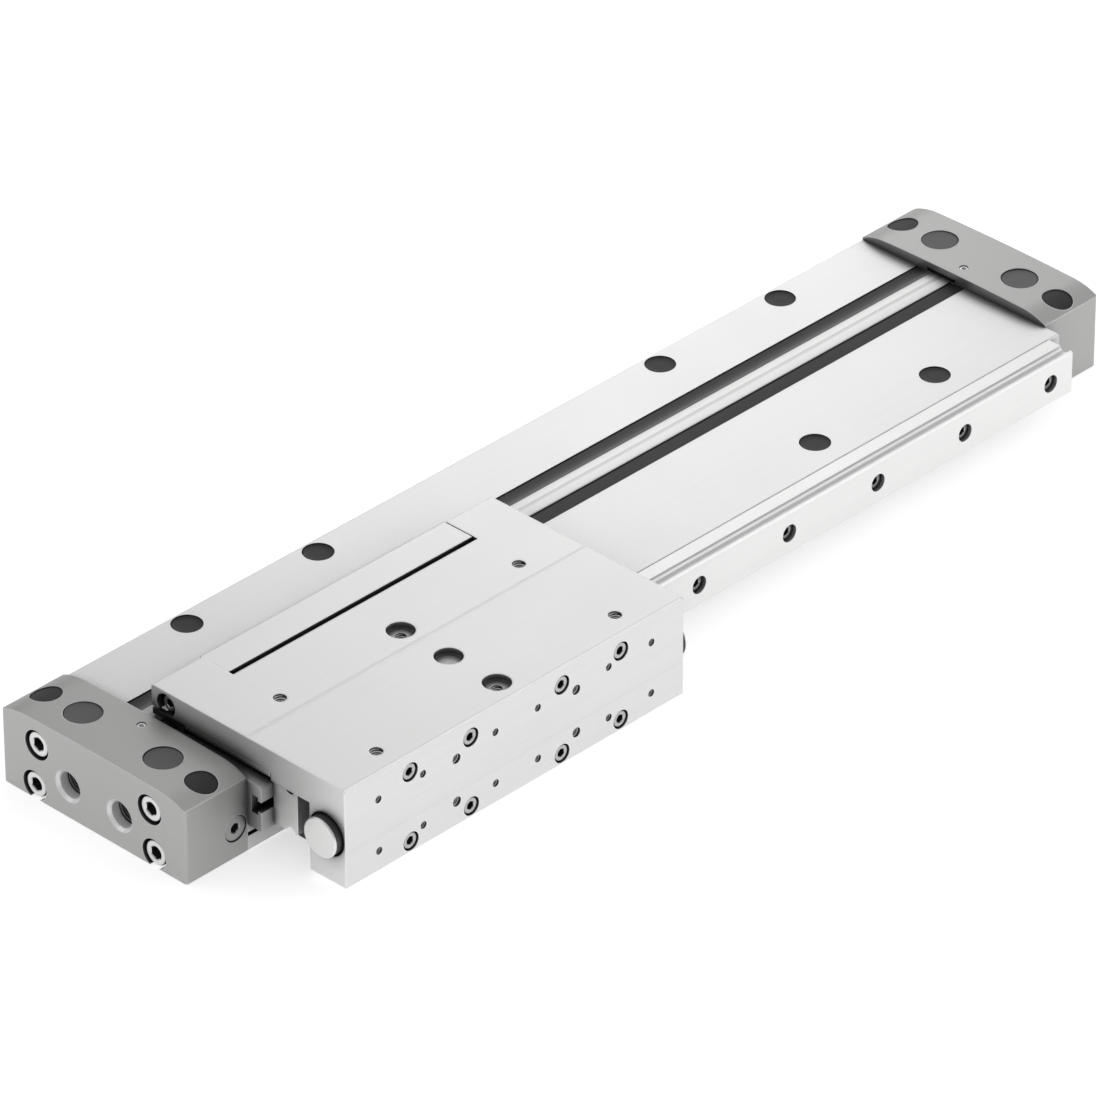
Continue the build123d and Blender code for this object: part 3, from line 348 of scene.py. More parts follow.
def strip_section(side, look):
    """Section of one slot strip: a flat outer part, then a hollow that falls towards the band.

    With t from 0 at the outer edge to 1 at the slot, the top is the barrel's face, less a small
    rounding at the outer edge. Past t = 0.6 it falls by fall * ((t - 0.6) / 0.2)^2, and from
    t = 0.8 it stays level under the band.
    """
    floor = 22.8
    t = np.linspace(0, 1, 33)
    fall = look.strip_fall * np.clip((t - 0.6) / 0.2, 0, 1) ** 2
    edge = 0.12 * np.clip((0.03 - t) / 0.03, 0, 1) ** 2
    y = BORE_Y + side * (STRIP_INNER + STRIP_WIDTH * (1 - t))
    roof = np.stack([y, BARREL_TOP - fall - edge], -1)
    foot = np.array([[BORE_Y + side * STRIP_INNER, floor],
                     [BORE_Y + side * (STRIP_INNER + STRIP_WIDTH), floor]])
    loop = np.concatenate([roof, foot])
    return loop if side > 0 else loop[::-1]


def wiping_lip(low, high, right, left, foot, arch):
    """A strip from low to high in X that hangs under the plate and runs from right to left in Y.

    Its section in (x, z) is a block whose lower edge is at height foot + arch s^2, with s from -1
    to 1 across the block.
    """
    s = np.linspace(-1, 1, 13)
    lower = np.stack([(low + high) / 2 + s * (high - low) / 2, foot + arch * s**2], -1)
    section = np.concatenate([lower, [[high, LIP_ROOT], [low, LIP_ROOT]]])
    points, faces, place = carried(section, np.linspace(right, left, 9))
    return points[:, [1, 0, 2]], [row[::-1] for row in faces], place


# Pieces

def piece(name, solid, body, finish_name, replaces=()):
    """Makes a mesh of the solid, rides it on a body, and hides the CAD nodes that it stands for.

    The mesh keeps each point's number, as own_reach, for the turning marks and the painted light
    and shade across a piece.
    """
    points, faces, reach = solid
    mesh = bpy.data.meshes.new(name)
    mesh.from_pydata((points * MM).tolist(), [], faces)
    mesh.polygons.foreach_set("use_smooth", np.ones(len(faces), bool))
    mesh.set_sharp_from_angle(angle=SHARP)
    mark = mesh.attributes.new("own_reach", "FLOAT", "POINT")
    mark.data.foreach_set("value", np.asarray(reach * MM, np.float32))
    mesh.materials.append(finish_named(finish_name))
    mesh.validate()
    made = bpy.data.objects.new(name, mesh)
    bpy.context.scene.collection.objects.link(made)
    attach(made, body)
    if replaces:
        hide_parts(*replaces)


def finish_named(name):
    """The material of that name, which the finishes' operator has made."""
    if name not in bpy.data.materials:
        raise RuntimeError(f"the finish {name} is missing: run the finishes first")
    return bpy.data.materials[name]


# Node groups

def group(name, inputs, outputs):
    """An empty shader node group with these named sockets, and its entry and exit."""
    tree = bpy.data.node_groups.new(name, "ShaderNodeTree")
    for label, kind, value in inputs:
        socket = tree.interface.new_socket(name=label, in_out="INPUT", socket_type=kind)
        if value is not None:
            socket.default_value = value
    for label, kind in outputs:
        tree.interface.new_socket(name=label, in_out="OUTPUT", socket_type=kind)
    return tree, tree.nodes.new("NodeGroupInput"), tree.nodes.new("NodeGroupOutput")


def node(tree, kind, settings=None, **inputs):
    """Adds a node; settings are its own fields, and inputs are values or sockets for its inputs.

    An input goes by its name, with _ for each space, or by its number after an i.
    """
    made = tree.nodes.new(kind)
    for key, value in (settings or {}).items():
        setattr(made, key, value)
    for key, value in inputs.items():
        numbered = key[0] == "i" and key[1:].isdigit()
        socket = made.inputs[int(key[1:])] if numbered else made.inputs[key.replace("_", " ")]
        if isinstance(value, bpy.types.NodeSocket):
            tree.links.new(value, socket)
        else:
            socket.default_value = value
    return made


def maths(tree, operation, *values, clamp=False):
    """A Math node on these values or sockets; gives its output."""
    settings = {"operation": operation, "use_clamp": clamp}
    inputs = {f"i{n}": value for n, value in enumerate(values)}
    return node(tree, "ShaderNodeMath", settings, **inputs).outputs[0]


def noise(tree, dimensions, **inputs):
    """A Noise Texture in one or three dimensions; gives its value."""
    return node(tree, "ShaderNodeTexNoise", {"noise_dimensions": dimensions}, **inputs).outputs[0]


def soft_edges():
    """Group: rounds off the shading at edges, and gives a mask of the edges."""
    tree, entry, leave = group(
        "Soft edges",
        [("Radius", "NodeSocketFloat", 0.0003), ("Gain", "NodeSocketFloat", 9.0)],
        [("Normal", "NodeSocketVector"), ("Edge", "NodeSocketFloat")],
    )
    bevel = node(tree, "ShaderNodeBevel", {"samples": 6}, Radius=entry.outputs["Radius"])
    shape = node(tree, "ShaderNodeNewGeometry")
    dot = node(tree, "ShaderNodeVectorMath", {"operation": "DOT_PRODUCT"},
               i0=bevel.outputs[0], i1=shape.outputs["Normal"])
    away = maths(tree, "SUBTRACT", 1.0, dot.outputs["Value"], clamp=True)
    edge = maths(tree, "MULTIPLY", away, entry.outputs["Gain"], clamp=True)
    tree.links.new(bevel.outputs[0], leave.inputs["Normal"])
    tree.links.new(edge, leave.inputs["Edge"])
    return tree


def drawn_grain():
    """Group: fine lines drawn out along one direction, from stretched noise at two sizes."""
    tree, entry, leave = group(
        "Drawn grain",
        [("Vector", "NodeSocketVector", None), ("Size", "NodeSocketFloat", 3000.0),
         ("Depth", "NodeSocketFloat", 0.00001), ("Normal", "NodeSocketVector", None)],
        [("Tone", "NodeSocketFloat"), ("Normal", "NodeSocketVector")],
    )
    place, size = entry.outputs["Vector"], entry.outputs["Size"]
    fine = noise(tree, "3D", Vector=place, Scale=size, Detail=2.0, Roughness=0.55)
    wide = maths(tree, "MULTIPLY", size, 0.12)
    broad = noise(tree, "3D", Vector=place, Scale=wide, Detail=1.0, Roughness=0.5)
    both = maths(tree, "ADD", maths(tree, "MULTIPLY", fine, 0.6),
                 maths(tree, "MULTIPLY", broad, 0.4))
    bump = node(tree, "ShaderNodeBump", Strength=1.0, Distance=entry.outputs["Depth"], Height=both,
                Normal=entry.outputs["Normal"])
    tree.links.new(both, leave.inputs["Tone"])
    tree.links.new(bump.outputs[0], leave.inputs["Normal"])
    return tree


def turning_marks():
    """Group: fine rings round a turned piece's own axis, from the distance kept in its mesh."""
    tree, entry, leave = group(
        "Turning marks",
        [("Pitch", "NodeSocketFloat", 0.00012), ("Depth", "NodeSocketFloat", 0.000006),
         ("Normal", "NodeSocketVector", None)],
        [("Tone", "NodeSocketFloat"), ("Normal", "NodeSocketVector")],
    )
    reach = node(tree, "ShaderNodeAttribute", {"attribute_name": "own_reach"})
    step = maths(tree, "DIVIDE", reach.outputs["Fac"], entry.outputs["Pitch"])
    rings = noise(tree, "1D", W=step, Scale=1.0, Detail=2.0)
    bump = node(tree, "ShaderNodeBump", Strength=1.0, Distance=entry.outputs["Depth"], Height=rings,
                Normal=entry.outputs["Normal"])
    tree.links.new(rings, leave.inputs["Tone"])
    tree.links.new(bump.outputs[0], leave.inputs["Normal"])
    return tree


def soft_mottle():
    """Group: broad, faint changes of tone, as handling and an even coat leave them."""
    tree, entry, leave = group(
        "Soft mottle",
        [("Vector", "NodeSocketVector", None), ("Size", "NodeSocketFloat", 30.0)],
        [("Tone", "NodeSocketFloat")],
    )
    cloud = noise(tree, "3D", Vector=entry.outputs["Vector"], Scale=entry.outputs["Size"],
                  Detail=3.0, Roughness=0.6)
    tree.links.new(cloud, leave.inputs["Tone"])
    return tree


def painted_hollow_shade():
    """Group: painted shade from how open a place is, from its least deep in a hole to one on a free
    face.

    A short reach finds holes and gaps, and a long one the soft painted shade beside a taller
    neighbour, which is weighed by its share.
    """
    wide_reach = 0.045
    tree, entry, leave = group(
        "Dark hollows",
        [("Reach", "NodeSocketFloat", 0.006), ("Least", "NodeSocketFloat", 0.14),
         ("From", "NodeSocketFloat", 0.45), ("Share", "NodeSocketFloat", 0.5)],
        [("Shade", "NodeSocketFloat")],
    )
    near = node(tree, "ShaderNodeAmbientOcclusion", {"samples": 6},
                Distance=entry.outputs["Reach"])
    hole = node(tree, "ShaderNodeMapRange", {"interpolation_type": "SMOOTHSTEP"},
                Value=near.outputs["AO"], From_Min=entry.outputs["From"], From_Max=1.0,
                To_Min=entry.outputs["Least"], To_Max=1.0)
    wide = node(tree, "ShaderNodeAmbientOcclusion", {"samples": 6}, Distance=wide_reach)
    lost = maths(tree, "SUBTRACT", 1.0, wide.outputs["AO"])
    soft = maths(tree, "SUBTRACT", 1.0, maths(tree, "MULTIPLY", lost, entry.outputs["Share"]))
    soft = maths(tree, "MAXIMUM", soft, entry.outputs["Least"])
    tree.links.new(maths(tree, "MULTIPLY", hole.outputs[0], soft), leave.inputs["Shade"])
    return tree


def across_tone():
    """Group: where a point lies across its own strip, from nil to one."""
    tree, entry, leave = group("Across tone", [("Low", "NodeSocketFloat", -1.0)],
                               [("Tone", "NodeSocketFloat")])
    own = node(tree, "ShaderNodeAttribute", {"attribute_name": "own_reach"})
    share = node(tree, "ShaderNodeMapRange", From_Min=entry.outputs["Low"], From_Max=1.0,
                 Value=maths(tree, "MULTIPLY", own.outputs["Fac"], 1 / MM))
    tree.links.new(share.outputs[0], leave.inputs["Tone"])
    return tree


GROUPS = {}     # the shared groups by name, once the finishes' operator has made them


def use(tree, name, **inputs):
    """Places one of the shared groups in a material."""
    return node(tree, "ShaderNodeGroup", {"node_tree": GROUPS[name]}, **inputs)


def ramp(tree, tone, stops):
    """A colour that follows a tone through these stops, each a place from 0 to 1 and a colour."""
    made = node(tree, "ShaderNodeValToRGB", Fac=tone)
    steps = made.color_ramp.elements
    while len(steps) < len(stops):
        steps.new(0.5)
    for step, (position, colour) in zip(steps, stops):
        step.position, step.color = position, (*colour, 1)
    return made.outputs["Color"]


def scaled(colour, factor, lift=0.0):
    """A colour times a factor and lifted by a little, kept within nil and one."""
    return [min(1.0, max(0.0, c * factor + lift)) for c in colour]


def finish(name, colour, rough, metal=0.0, stretch=(1, 1, 1), size=3000.0, depth=0.000008,
           spread=0.05, edge=0.00025, edge_highlight=0.12, rings=False, specular=0.5, hollow=PaintedShade(),
           across=()):
    """One finish: its colour moves a little with a broad mottle and a fine grain, its edges are
    rounded and carry a painted highlight, and its roughness follows the grain.

    The grain is drawn lines, or turned rings. The colour is darkened by painted shade in hollows,
    in gaps and beside taller neighbours, and follows the painted light and shade across the piece
    where they are given.
    """
    low, high, sway = 0.25, 0.75, 0.06
    made = bpy.data.materials.new(name)
    if made.name != name:
        raise RuntimeError(f"there is another material named {name}")
    made.use_nodes = True
    tree = made.node_tree
    shader = tree.nodes["Principled BSDF"]
    place = node(tree, "ShaderNodeTexCoord").outputs["Object"]
    drawn = node(tree, "ShaderNodeMapping", Vector=place, Scale=stretch).outputs[0]
    soft = use(tree, "Soft edges", Radius=edge)
    cloud = use(tree, "Soft mottle", Vector=place)
    normal = soft.outputs["Normal"]
    if rings:
        grain = use(tree, "Turning marks", Normal=normal)
    else:
        grain = use(tree, "Drawn grain", Vector=drawn, Size=size, Depth=depth, Normal=normal)
    tone = maths(tree, "ADD", maths(tree, "MULTIPLY", grain.outputs["Tone"], 0.55),
                 maths(tree, "MULTIPLY", cloud.outputs["Tone"], 0.45))
    base = ramp(tree, tone, ((low, scaled(colour, 1 - spread)), (high, scaled(colour, 1 + spread))))
    # Painted highlight: the edges' colour is lifted above the finish's own colour
    bright = scaled(colour, 1 + 2 * spread, edge_highlight)
    # A Mix node's colours are its inputs 6 and 7 and its output 2
    mixed = node(tree, "ShaderNodeMix", {"data_type": "RGBA"},
                 i0=soft.outputs["Edge"], i6=base, i7=(*bright, 1))
    # Painted shade: the colour is darkened in holes, in gaps and beside taller neighbours
    shade = use(tree, "Dark hollows", Reach=hollow.reach, Least=hollow.least, From=hollow.first,
                Share=hollow.share).outputs["Shade"]
    if across:
        own = use(tree, "Across tone").outputs["Tone"]
        bands = ramp(tree, own, [(position, (value,) * 3) for position, value in across])
        shade = maths(tree, "MULTIPLY", shade, bands)
    shaded_colour = node(tree, "ShaderNodeVectorMath", {"operation": "SCALE"},
                i0=mixed.outputs[2], Scale=shade)
    tree.links.new(shaded_colour.outputs[0], shader.inputs["Base Color"])
    uneven = node(tree, "ShaderNodeMapRange", Value=tone, From_Min=low, From_Max=high,
                  To_Min=max(0.02, rough - sway), To_Max=min(1.0, rough + sway))
    tree.links.new(uneven.outputs[0], shader.inputs["Roughness"])
    tree.links.new(grain.outputs["Normal"], shader.inputs["Normal"])
    shader.inputs["Metallic"].default_value = metal
    shader.inputs["Specular IOR Level"].default_value = specular


# Settings

def colour_of(name, text, value):
    """A colour setting with its default."""
    return FloatVectorProperty(name=name, description=text, default=value, size=3, min=0, max=1,
                               subtype="COLOR")


def number_of(name, text, value, low, high, subtype="NONE"):
    """A number setting with its default and its limits."""
    return FloatProperty(name=name, description=text, default=value, min=low, max=high,
                         subtype=subtype)


def power_of(name, text, value):
    """A lamp's power with its default."""
    return FloatProperty(name=name, description=text, default=value, min=0, unit="POWER")


def angle_of(name, text, degrees):
    """An angle with its default, here in degrees."""
    return FloatProperty(name=name, description=text, default=math.radians(degrees),
                         subtype="ANGLE")


class DriveFinishes(bpy.types.PropertyGroup):
    """Colours and surfaces of the drive."""

    aluminium: colour_of("Aluminium", "Natural anodised barrel and carriage", (0.8, 0.8, 0.797))
    aluminium_rough: number_of("Aluminium roughness", "How matt the anodising is", 0.42, 0, 1,
                               "FACTOR")
    cap: colour_of("End caps", "Darker anodised end caps", (0.455, 0.455, 0.45))
    rail: colour_of("Rail", "Ground steel of the guide rail", (0.83, 0.83, 0.825))
    steel: colour_of("Screws", "Bright plated screws", (0.72, 0.72, 0.715))
    screw: colour_of("Side screws", "Duller screws in the carriage and the rail", (0.5, 0.5, 0.5))
    band: colour_of("Band", "Outer sealing band", (0.75, 0.75, 0.745))
    plastic: colour_of("Plastic", "Black moulded plastic", (0.035, 0.035, 0.036))
    strip: colour_of("Strips", "Slot strips, at their lightest edge", (0.22, 0.22, 0.22))
    cover: colour_of("Covers", "Covers over the mounting screws", (0.016, 0.016, 0.017))
    plug: colour_of("Plugs", "Dark plugs in the end caps", (0.085, 0.085, 0.086))
    rubber: colour_of("Seals", "Rubber of seals and buffers", (0.02, 0.02, 0.02))


class DriveScrews(bpy.types.PropertyGroup):
    """Shape of the screw heads and stops."""

    rim: number_of("Rim", "Rounding of a head's rim, as a share of its width", 0.07, 0.01, 0.2,
                   "FACTOR")
    knurl: number_of("Knurl", "Depth of the knurl on a head's side, in millimetres", 0.09, 0, 0.3)
    socket_depth: number_of("Socket depth", "Depth of the hexagon, as a share of the head", 0.62,
                            0.2, 0.9, "FACTOR")
    stop_chamfer: number_of("Stop chamfer", "Chamfer of the stops' faces, in millimetres", 0.35,
                            0.1, 0.6)


class DriveBand(bpy.types.PropertyGroup):
    """Shape of the outer band and of the strips beside it."""

    arch: number_of("Arch", "Rise of the band's middle over its edges, in millimetres", 0.26, 0, 1)
    groove_depth: number_of("Groove depth", "Depth of the line along the band, in millimetres",
                            0.1, 0, 0.4)
    groove_width: number_of("Groove width", "Half width of that line, in millimetres", 0.5,
                            0.05, 1)
    strip_fall: number_of("Strip fall", "How far the strips fall to the band, in millimetres",
                          0.3, 0, 1.5)


class DriveStudio(bpy.types.PropertyGroup):
    """Lamps, surroundings and camera."""

    side: power_of("Side lamp", "Power of the lamp that the right top edges mirror", 3.4)
    back: power_of("Back lamp", "Power of the low lamp beyond the far end cap", 1.3)
    sheen: power_of("Sheen lamp", "Power of the small lamp that the flat tops mirror", 0.47)
    front: power_of("Front lamp", "Power of the lamp that the near ends' top edges mirror", 1.6)
    sky: number_of("Surroundings", "Strength of the even light from all round", 0.54, 0, 2)
    place: FloatVectorProperty(
        name="Camera place", description="Where the camera stands",
        default=(-1.652449, -1.606175, 1.499595), size=3, subtype="TRANSLATION")
    azimuth: angle_of("Camera azimuth", "Direction from the object to the camera", -135.669)
    elevation: angle_of("Camera elevation", "Height of that direction", 32.957)
    roll: angle_of("Camera roll", "Turn of the picture", -0.168)
    lens: FloatProperty(
        name="Lens", description="Focal length", default=293.02, min=20, unit="CAMERA")


class DriveSettings(bpy.types.PropertyGroup):
    """All settings of the drive."""

    finishes: PointerProperty(type=DriveFinishes, name="Finishes", description="Colours, surfaces")
    screws: PointerProperty(type=DriveScrews, name="Screws", description="Screw heads and stops")
    band: PointerProperty(type=DriveBand, name="Band", description="Band and strips")
    studio: PointerProperty(type=DriveStudio, name="Studio", description="Lamps and camera")


def settings():
    """The drive's settings in this scene."""
    return bpy.context.scene.linear_drive


# Operators

class MakeFinishes(bpy.types.Operator):
    """Make the finishes and put them on the CAD nodes"""

    bl_idname = "linear_drive.finishes"
    bl_label = "Finishes"

    def execute(self, context):
        GROUPS.update({
            "Soft edges": soft_edges(),
            "Drawn grain": drawn_grain(),
            "Turning marks": turning_marks(),
            "Soft mottle": soft_mottle(),
            "Dark hollows": painted_hollow_shade(),
            "Across tone": across_tone(),
        })
        look = settings().finishes
        self.metals(look)
        self.plastics(look)
        self.dress()
        return {"FINISHED"}

    def metals(self, look):
        """Aluminium and steel, with a fine drawn grain or turned rings."""
        drawn = {"stretch": LENGTHWAYS, "depth": 0.000004}
        drawn_finer = {"stretch": LENGTHWAYS, "depth": 0.000003}
        plain = {"size": 5000.0, "depth": 0.000002}
        natural = {"colour": look.aluminium, "rough": look.aluminium_rough, "metal": 0.72}
        finish("anodised_aluminium", **natural, **drawn, size=2600.0, hollow=PaintedShade(share=0.9))
        finish("anodised_carriage", **natural, **drawn, size=2000.0, edge=0.0008, edge_highlight=0.3,
               hollow=PaintedShade(share=0.7))
        finish("cap_aluminium", look.cap, rough=0.44, metal=0.75, stretch=UPRIGHT, size=2600.0,
               depth=0.000004, edge=0.0005, edge_highlight=0.28, hollow=PaintedShade(least=0.3, share=0.6))
        finish("rail_steel", look.rail, rough=0.42, metal=0.85, **drawn_finer, size=3200.0,
               hollow=PaintedShade(0.003, 0.25, 0.4, 0.3))
        finish("plated_steel", look.steel, rough=0.28, metal=1.0, **plain)
        finish("screw_steel", look.screw, rough=0.36, metal=1.0, **plain,
               hollow=PaintedShade(0.003, 0.3, 0.4, 0.3))
        finish("turned_steel", look.steel, rough=0.3, metal=1.0, rings=True,
               hollow=PaintedShade(0.005, 0.3, 0.45, 0.3))
        # Near-white and without painted shade: a painted highlight on the air ports' mouths
        finish("bright_bore", (0.96, 0.96, 0.96), rough=0.3, metal=0.3, size=5000.0,
               depth=0.000001, hollow=PaintedShade(least=1.0, first=0.2, share=0.0))
        finish("cut_thread", (0.9, 0.9, 0.9), rough=0.3, metal=0.45, **plain,
               hollow=PaintedShade(least=0.8, first=0.2, share=0.0))
        # The band's colour carries painted shade along its middle line and at its left edge
        finish("band_steel", look.band, rough=0.4, metal=0.8, **drawn_finer, size=3000.0,
               hollow=PaintedShade(0.003, 0.3, 0.4, 1.6), across=BAND_SHADE_TONES)

    def plastics(self, look):
        """Moulded plastic, drawn out along the slot or even, and rubber."""
        drawn = {"stretch": LENGTHWAYS, "size": 2500.0, "depth": 0.000004, "spread": 0.12}
        finish("moulded_plastic", look.plastic, rough=0.42, edge_highlight=0.02, **drawn)
        # The strips' colour carries painted light and shade: dark on the right, lighter towards the
        # slot on the left
        finish("strip_plastic", look.strip, rough=0.42, edge_highlight=0.02, **drawn, specular=0.2,
               hollow=PaintedShade(0.003, 0.5, 0.4, 0.3), across=STRIP_LIGHT_AND_SHADE)
        finish("cover_plastic", look.cover, rough=0.5, size=6000.0, spread=0.15, edge_highlight=0.02,
               specular=0.35)
        finish("plug_plastic", look.plug, rough=0.5, size=6000.0, spread=0.1, edge_highlight=0.03)
        finish("smooth_rubber", look.rubber, rough=0.55, size=4000.0, spread=0.15, edge_highlight=0.01)

    def dress(self):
        """Gives each CAD node its own finish or that of its slot."""
        slots = {row["node"]: row["material_slot"] for row in frame["record"]["subparts"]}
        for name, shown in frame["nodes"].items():
            chosen = FINISH_BY_NODE.get(name, FINISH_BY_SLOT[slots[name]])
            shown.data.materials.clear()
            shown.data.materials.append(finish_named(chosen))


class MakeCapScrews(bpy.types.Operator):
    """Make the socket screws in both end caps"""

    bl_idname = "linear_drive.cap_screws"
    bl_label = "End cap screws"

    def execute(self, context):
        screw = socket_screw(**CAP_SCREW, look=settings().screws)
        seat_x, rows = 194.4, ((24.0, 19.5), (25.5, 4.6))
        for name, end in (("near_cap", -1), ("far_cap", 1)):
            seats = [(end * seat_x, s * y, z) for y, z in rows for s in BOTH]
            piece(f"{name}_socket_screws", stood(screw, seats, (end, 0, 0)), "base",
                  "turned_steel", [f"{name}_screws"])
        return {"FINISHED"}


class MakeRailScrews(bpy.types.Operator):
    """Make the screws along the guide rail"""

    bl_idname = "linear_drive.rail_screws"
    bl_label = "Rail screws"

    def execute(self, context):
        screw = socket_screw(**RAIL_SCREW, look=settings().screws)
        pitch, seat_y = 40.0, -50.5
        seats = [(pitch * n, seat_y, RAIL_Z) for n in range(-4, 5)]
        piece("rail_socket_screws", stood(screw, seats, RIGHT), "base",
              "screw_steel", ["rail_screws"])
        return {"FINISHED"}


class MakeCarriageScrews(bpy.types.Operator):
    """Make the screws in the carriage's side and in the driver's ends"""

    bl_idname = "linear_drive.carriage_screws"
    bl_label = "Carriage screws"

    def execute(self, context):
        look = settings().screws
        side = socket_screw(**BLOCK_SCREW, look=look)
        block, along, above, seat_y = 31.65, 12.55, 12.2, -72.3
        seats = [(CARRIAGE_X + s * block + t * along, seat_y, RAIL_Z + u * above)
                 for s in BOTH for t in BOTH for u in BOTH]
        piece("block_socket_screws", stood(side, seats, RIGHT), "carriage",
              "screw_steel", ["block_screws"])
        end = socket_screw(**DRIVER_SCREW, look=look)
        pair = at_carriage_ends(end, inset=4.5, y=-1.1, z=31.3)
        piece("driver_socket_screws", pair, "carriage", "screw_steel",
              ["driver_screws"])
        return {"FINISHED"}


class MakePlugs(bpy.types.Operator):
    """Make the plugs and set screws of the end caps"""

    bl_idname = "linear_drive.plugs"
    bl_label = "Plugs and set screws"

    def execute(self, context):
        side = socket_plug(radius=4.4, length=3.7, flats=3.0, chamfer=0.35)
        seats = [(end * 179.8, -38.7, 10.0) for end in BOTH]
        piece("side_socket_plugs", stood(side, seats, RIGHT), "base",
              "cap_aluminium", ["side_port_plugs"])
        clamp = socket_plug(radius=1.4, length=1.9, flats=1.5, chamfer=0.2)
        seats = [(end * 180.0, 0.0, 28.2) for end in BOTH]
        piece("clamp_set_screws", stood(clamp, seats, UP), "base",
              "cut_thread", ["clamp_screws"])
        plug = disc(radius=6.0, thickness=3.3, rim=0.5, dish=0.06)
        seats = [(end * 187.5, s * 17.0, 28.063) for end in BOTH for s in BOTH]
        piece("passage_discs", stood(plug, seats, UP), "base", "plug_plastic",
              ["passage_plugs"])
        return {"FINISHED"}


class MakeCovers(bpy.types.Operator):
    """Make the covers over the mounting screws"""

    bl_idname = "linear_drive.covers"
    bl_label = "Screw covers"

    def execute(self, context):
        cover = disc(radius=4.95, thickness=1.6, rim=0.7, dish=0.12)
        seats = [(s * x, t * 33.0, BARREL_TOP) for x in (75.0, 130.0) for s in BOTH for t in BOTH]
        piece("barrel_cover_discs", stood(cover, seats, UP), "base",
              "cover_plastic", ["barrel_hole_covers"])
        return {"FINISHED"}


class MakeBand(bpy.types.Operator):
    """Make the outer band and the strips beside the slot"""

    bl_idname = "linear_drive.band"
    bl_label = "Band and strips"

    def execute(self, context):
        look = settings().band
        reach = 182.9
        section = band_section(look)
        place = (section[:, 0] - BORE_Y) / BAND_HALF
        band = carried(section, np.linspace(-reach, reach, 61), place)
        piece("slot_cover_band", band, "base", "band_steel", ["outer_band"])
        stations = np.linspace(-BARREL_END, BARREL_END, 36)
        pair = []
        for side in BOTH:
            section = strip_section(side, look)
            inward = 1 - (side * (section[:, 0] - BORE_Y) - STRIP_INNER) / STRIP_WIDTH
            pair.append(carried(section, stations, side * inward))
        piece("slot_strips", gathered(pair), "base", "strip_plastic",
              ["band_strips"])
        return {"FINISHED"}


class MakeLips(bpy.types.Operator):
    """Make the wiping lips and their holders under the carriage plate's two ends; the lips' black
    also stands in for the shade in the gap under the plate
    """

    bl_idname = "linear_drive.lips"
    bl_label = "Wiping lips"

    def execute(self, context):
        # Black rubber lips: partly wipers, and partly painted shade for the gap under the plate
        self.hang("edge_lips", "seal_rubber", "smooth_rubber", depths=(3.2, 4.9), foot=25.35,
                  arch=0.7)
        self.hang("lip_holders", "light_anodised_aluminium", "anodised_carriage",
                  depths=(0.06, 3.0), foot=26.5, arch=0.1)
        return {"FINISHED"}

    def hang(self, name, slot, finish_name, depths, foot, arch):
        """Hangs a strip under each end, between these two depths inwards from the end face."""
        right, left = -44.7, -8.9
        solids = []
        for face, inward in ((NEAR_FACE, 1), (FAR_FACE, -1)):
            span = face + inward * np.array(depths)
            solids.append(wiping_lip(span.min(), span.max(), right, left, foot, arch))
        piece(name, gathered(solids), "carriage", finish_name)


class MakeStops(bpy.types.Operator):
    """Make the stops at both ends of the carriage"""

    bl_idname = "linear_drive.stops"
    bl_label = "Stops"

    def execute(self, context):
        y = -68.0
        face = at_carriage_ends(stop_face(settings().screws), 0.0, y, RAIL_Z)
        piece("stop_faces", face, "carriage", "turned_steel", ["stop_pads"])
        buffer = at_carriage_ends(stop_buffer(), 0.0, y, RAIL_Z)
        piece("stop_buffers", buffer, "carriage", "plug_plastic", ["stop_pads"])
        return {"FINISHED"}


class MakeThreads(bpy.types.Operator):
    """Make the threads and the painted-highlight linings of the air ports, and the threads in the
    carriage
    """

    bl_idname = "linear_drive.threads"
    bl_label = "Threads"

    def execute(self, context):
        self.ports()
        self.carriage()
        return {"FINISHED"}

    def ports(self):
        """The air ports in the near cap: a thread in each, and a near-white lining over its mouth
        that paints a highlight on the mouth's wall.
        """
        ridge = thread(radius=4.4, pitch=0.9, length=4.0, depth=0.25, per_turn=48)
        mouth = lining([(-2.6, 4.45), (0.4, 4.45), (1.38, 5.42),
                        (1.38, 5.33), (0.36, 4.36), (-2.6, 4.36)])
        for name, solid, x, finish_name in (("port_threads", ridge, -196.1, "cap_aluminium"),
                                            ("port_linings", mouth, -198.6, "bright_bore")):
            seats = [(x, s * 11.0, 11.0) for s in BOTH]
            piece(name, stood(solid, seats, (-1, 0, 0)), "base", finish_name)

    def carriage(self):
        """The carriage's threads: six for the load in its top, and sixteen in its side."""
        side_y = -75.5
        rows = (LOAD_Y - 20.0, LOAD_Y + 20.0)
        corner = thread(radius=2.1, pitch=0.8, length=8.0, depth=0.28)
        middle = thread(radius=1.65, pitch=0.7, length=7.0, depth=0.22)
        small = thread(radius=1.25, pitch=0.5, length=2.8, depth=0.16, per_turn=18)
        larger = thread(radius=1.65, pitch=0.7, length=2.8, depth=0.22, per_turn=18)
        solids = [
            stood(corner, [(CARRIAGE_X + s * 50.0, y, 36.0) for s in BOTH for y in rows], UP),
            stood(middle, [(CARRIAGE_X, y, 34.0) for y in rows], UP),
            stood(small, [(CARRIAGE_X + s * x, side_y, RAIL_Z + t * 9.05)
                          for x in (8.9, 39.0, 57.3) for s in BOTH for t in BOTH], RIGHT),
            stood(larger, [(CARRIAGE_X + s * 25.15, side_y, RAIL_Z + t * 7.6)
                           for s in BOTH for t in BOTH], RIGHT),
        ]
        piece("carriage_threads", gathered(solids), "carriage",
              "cut_thread")


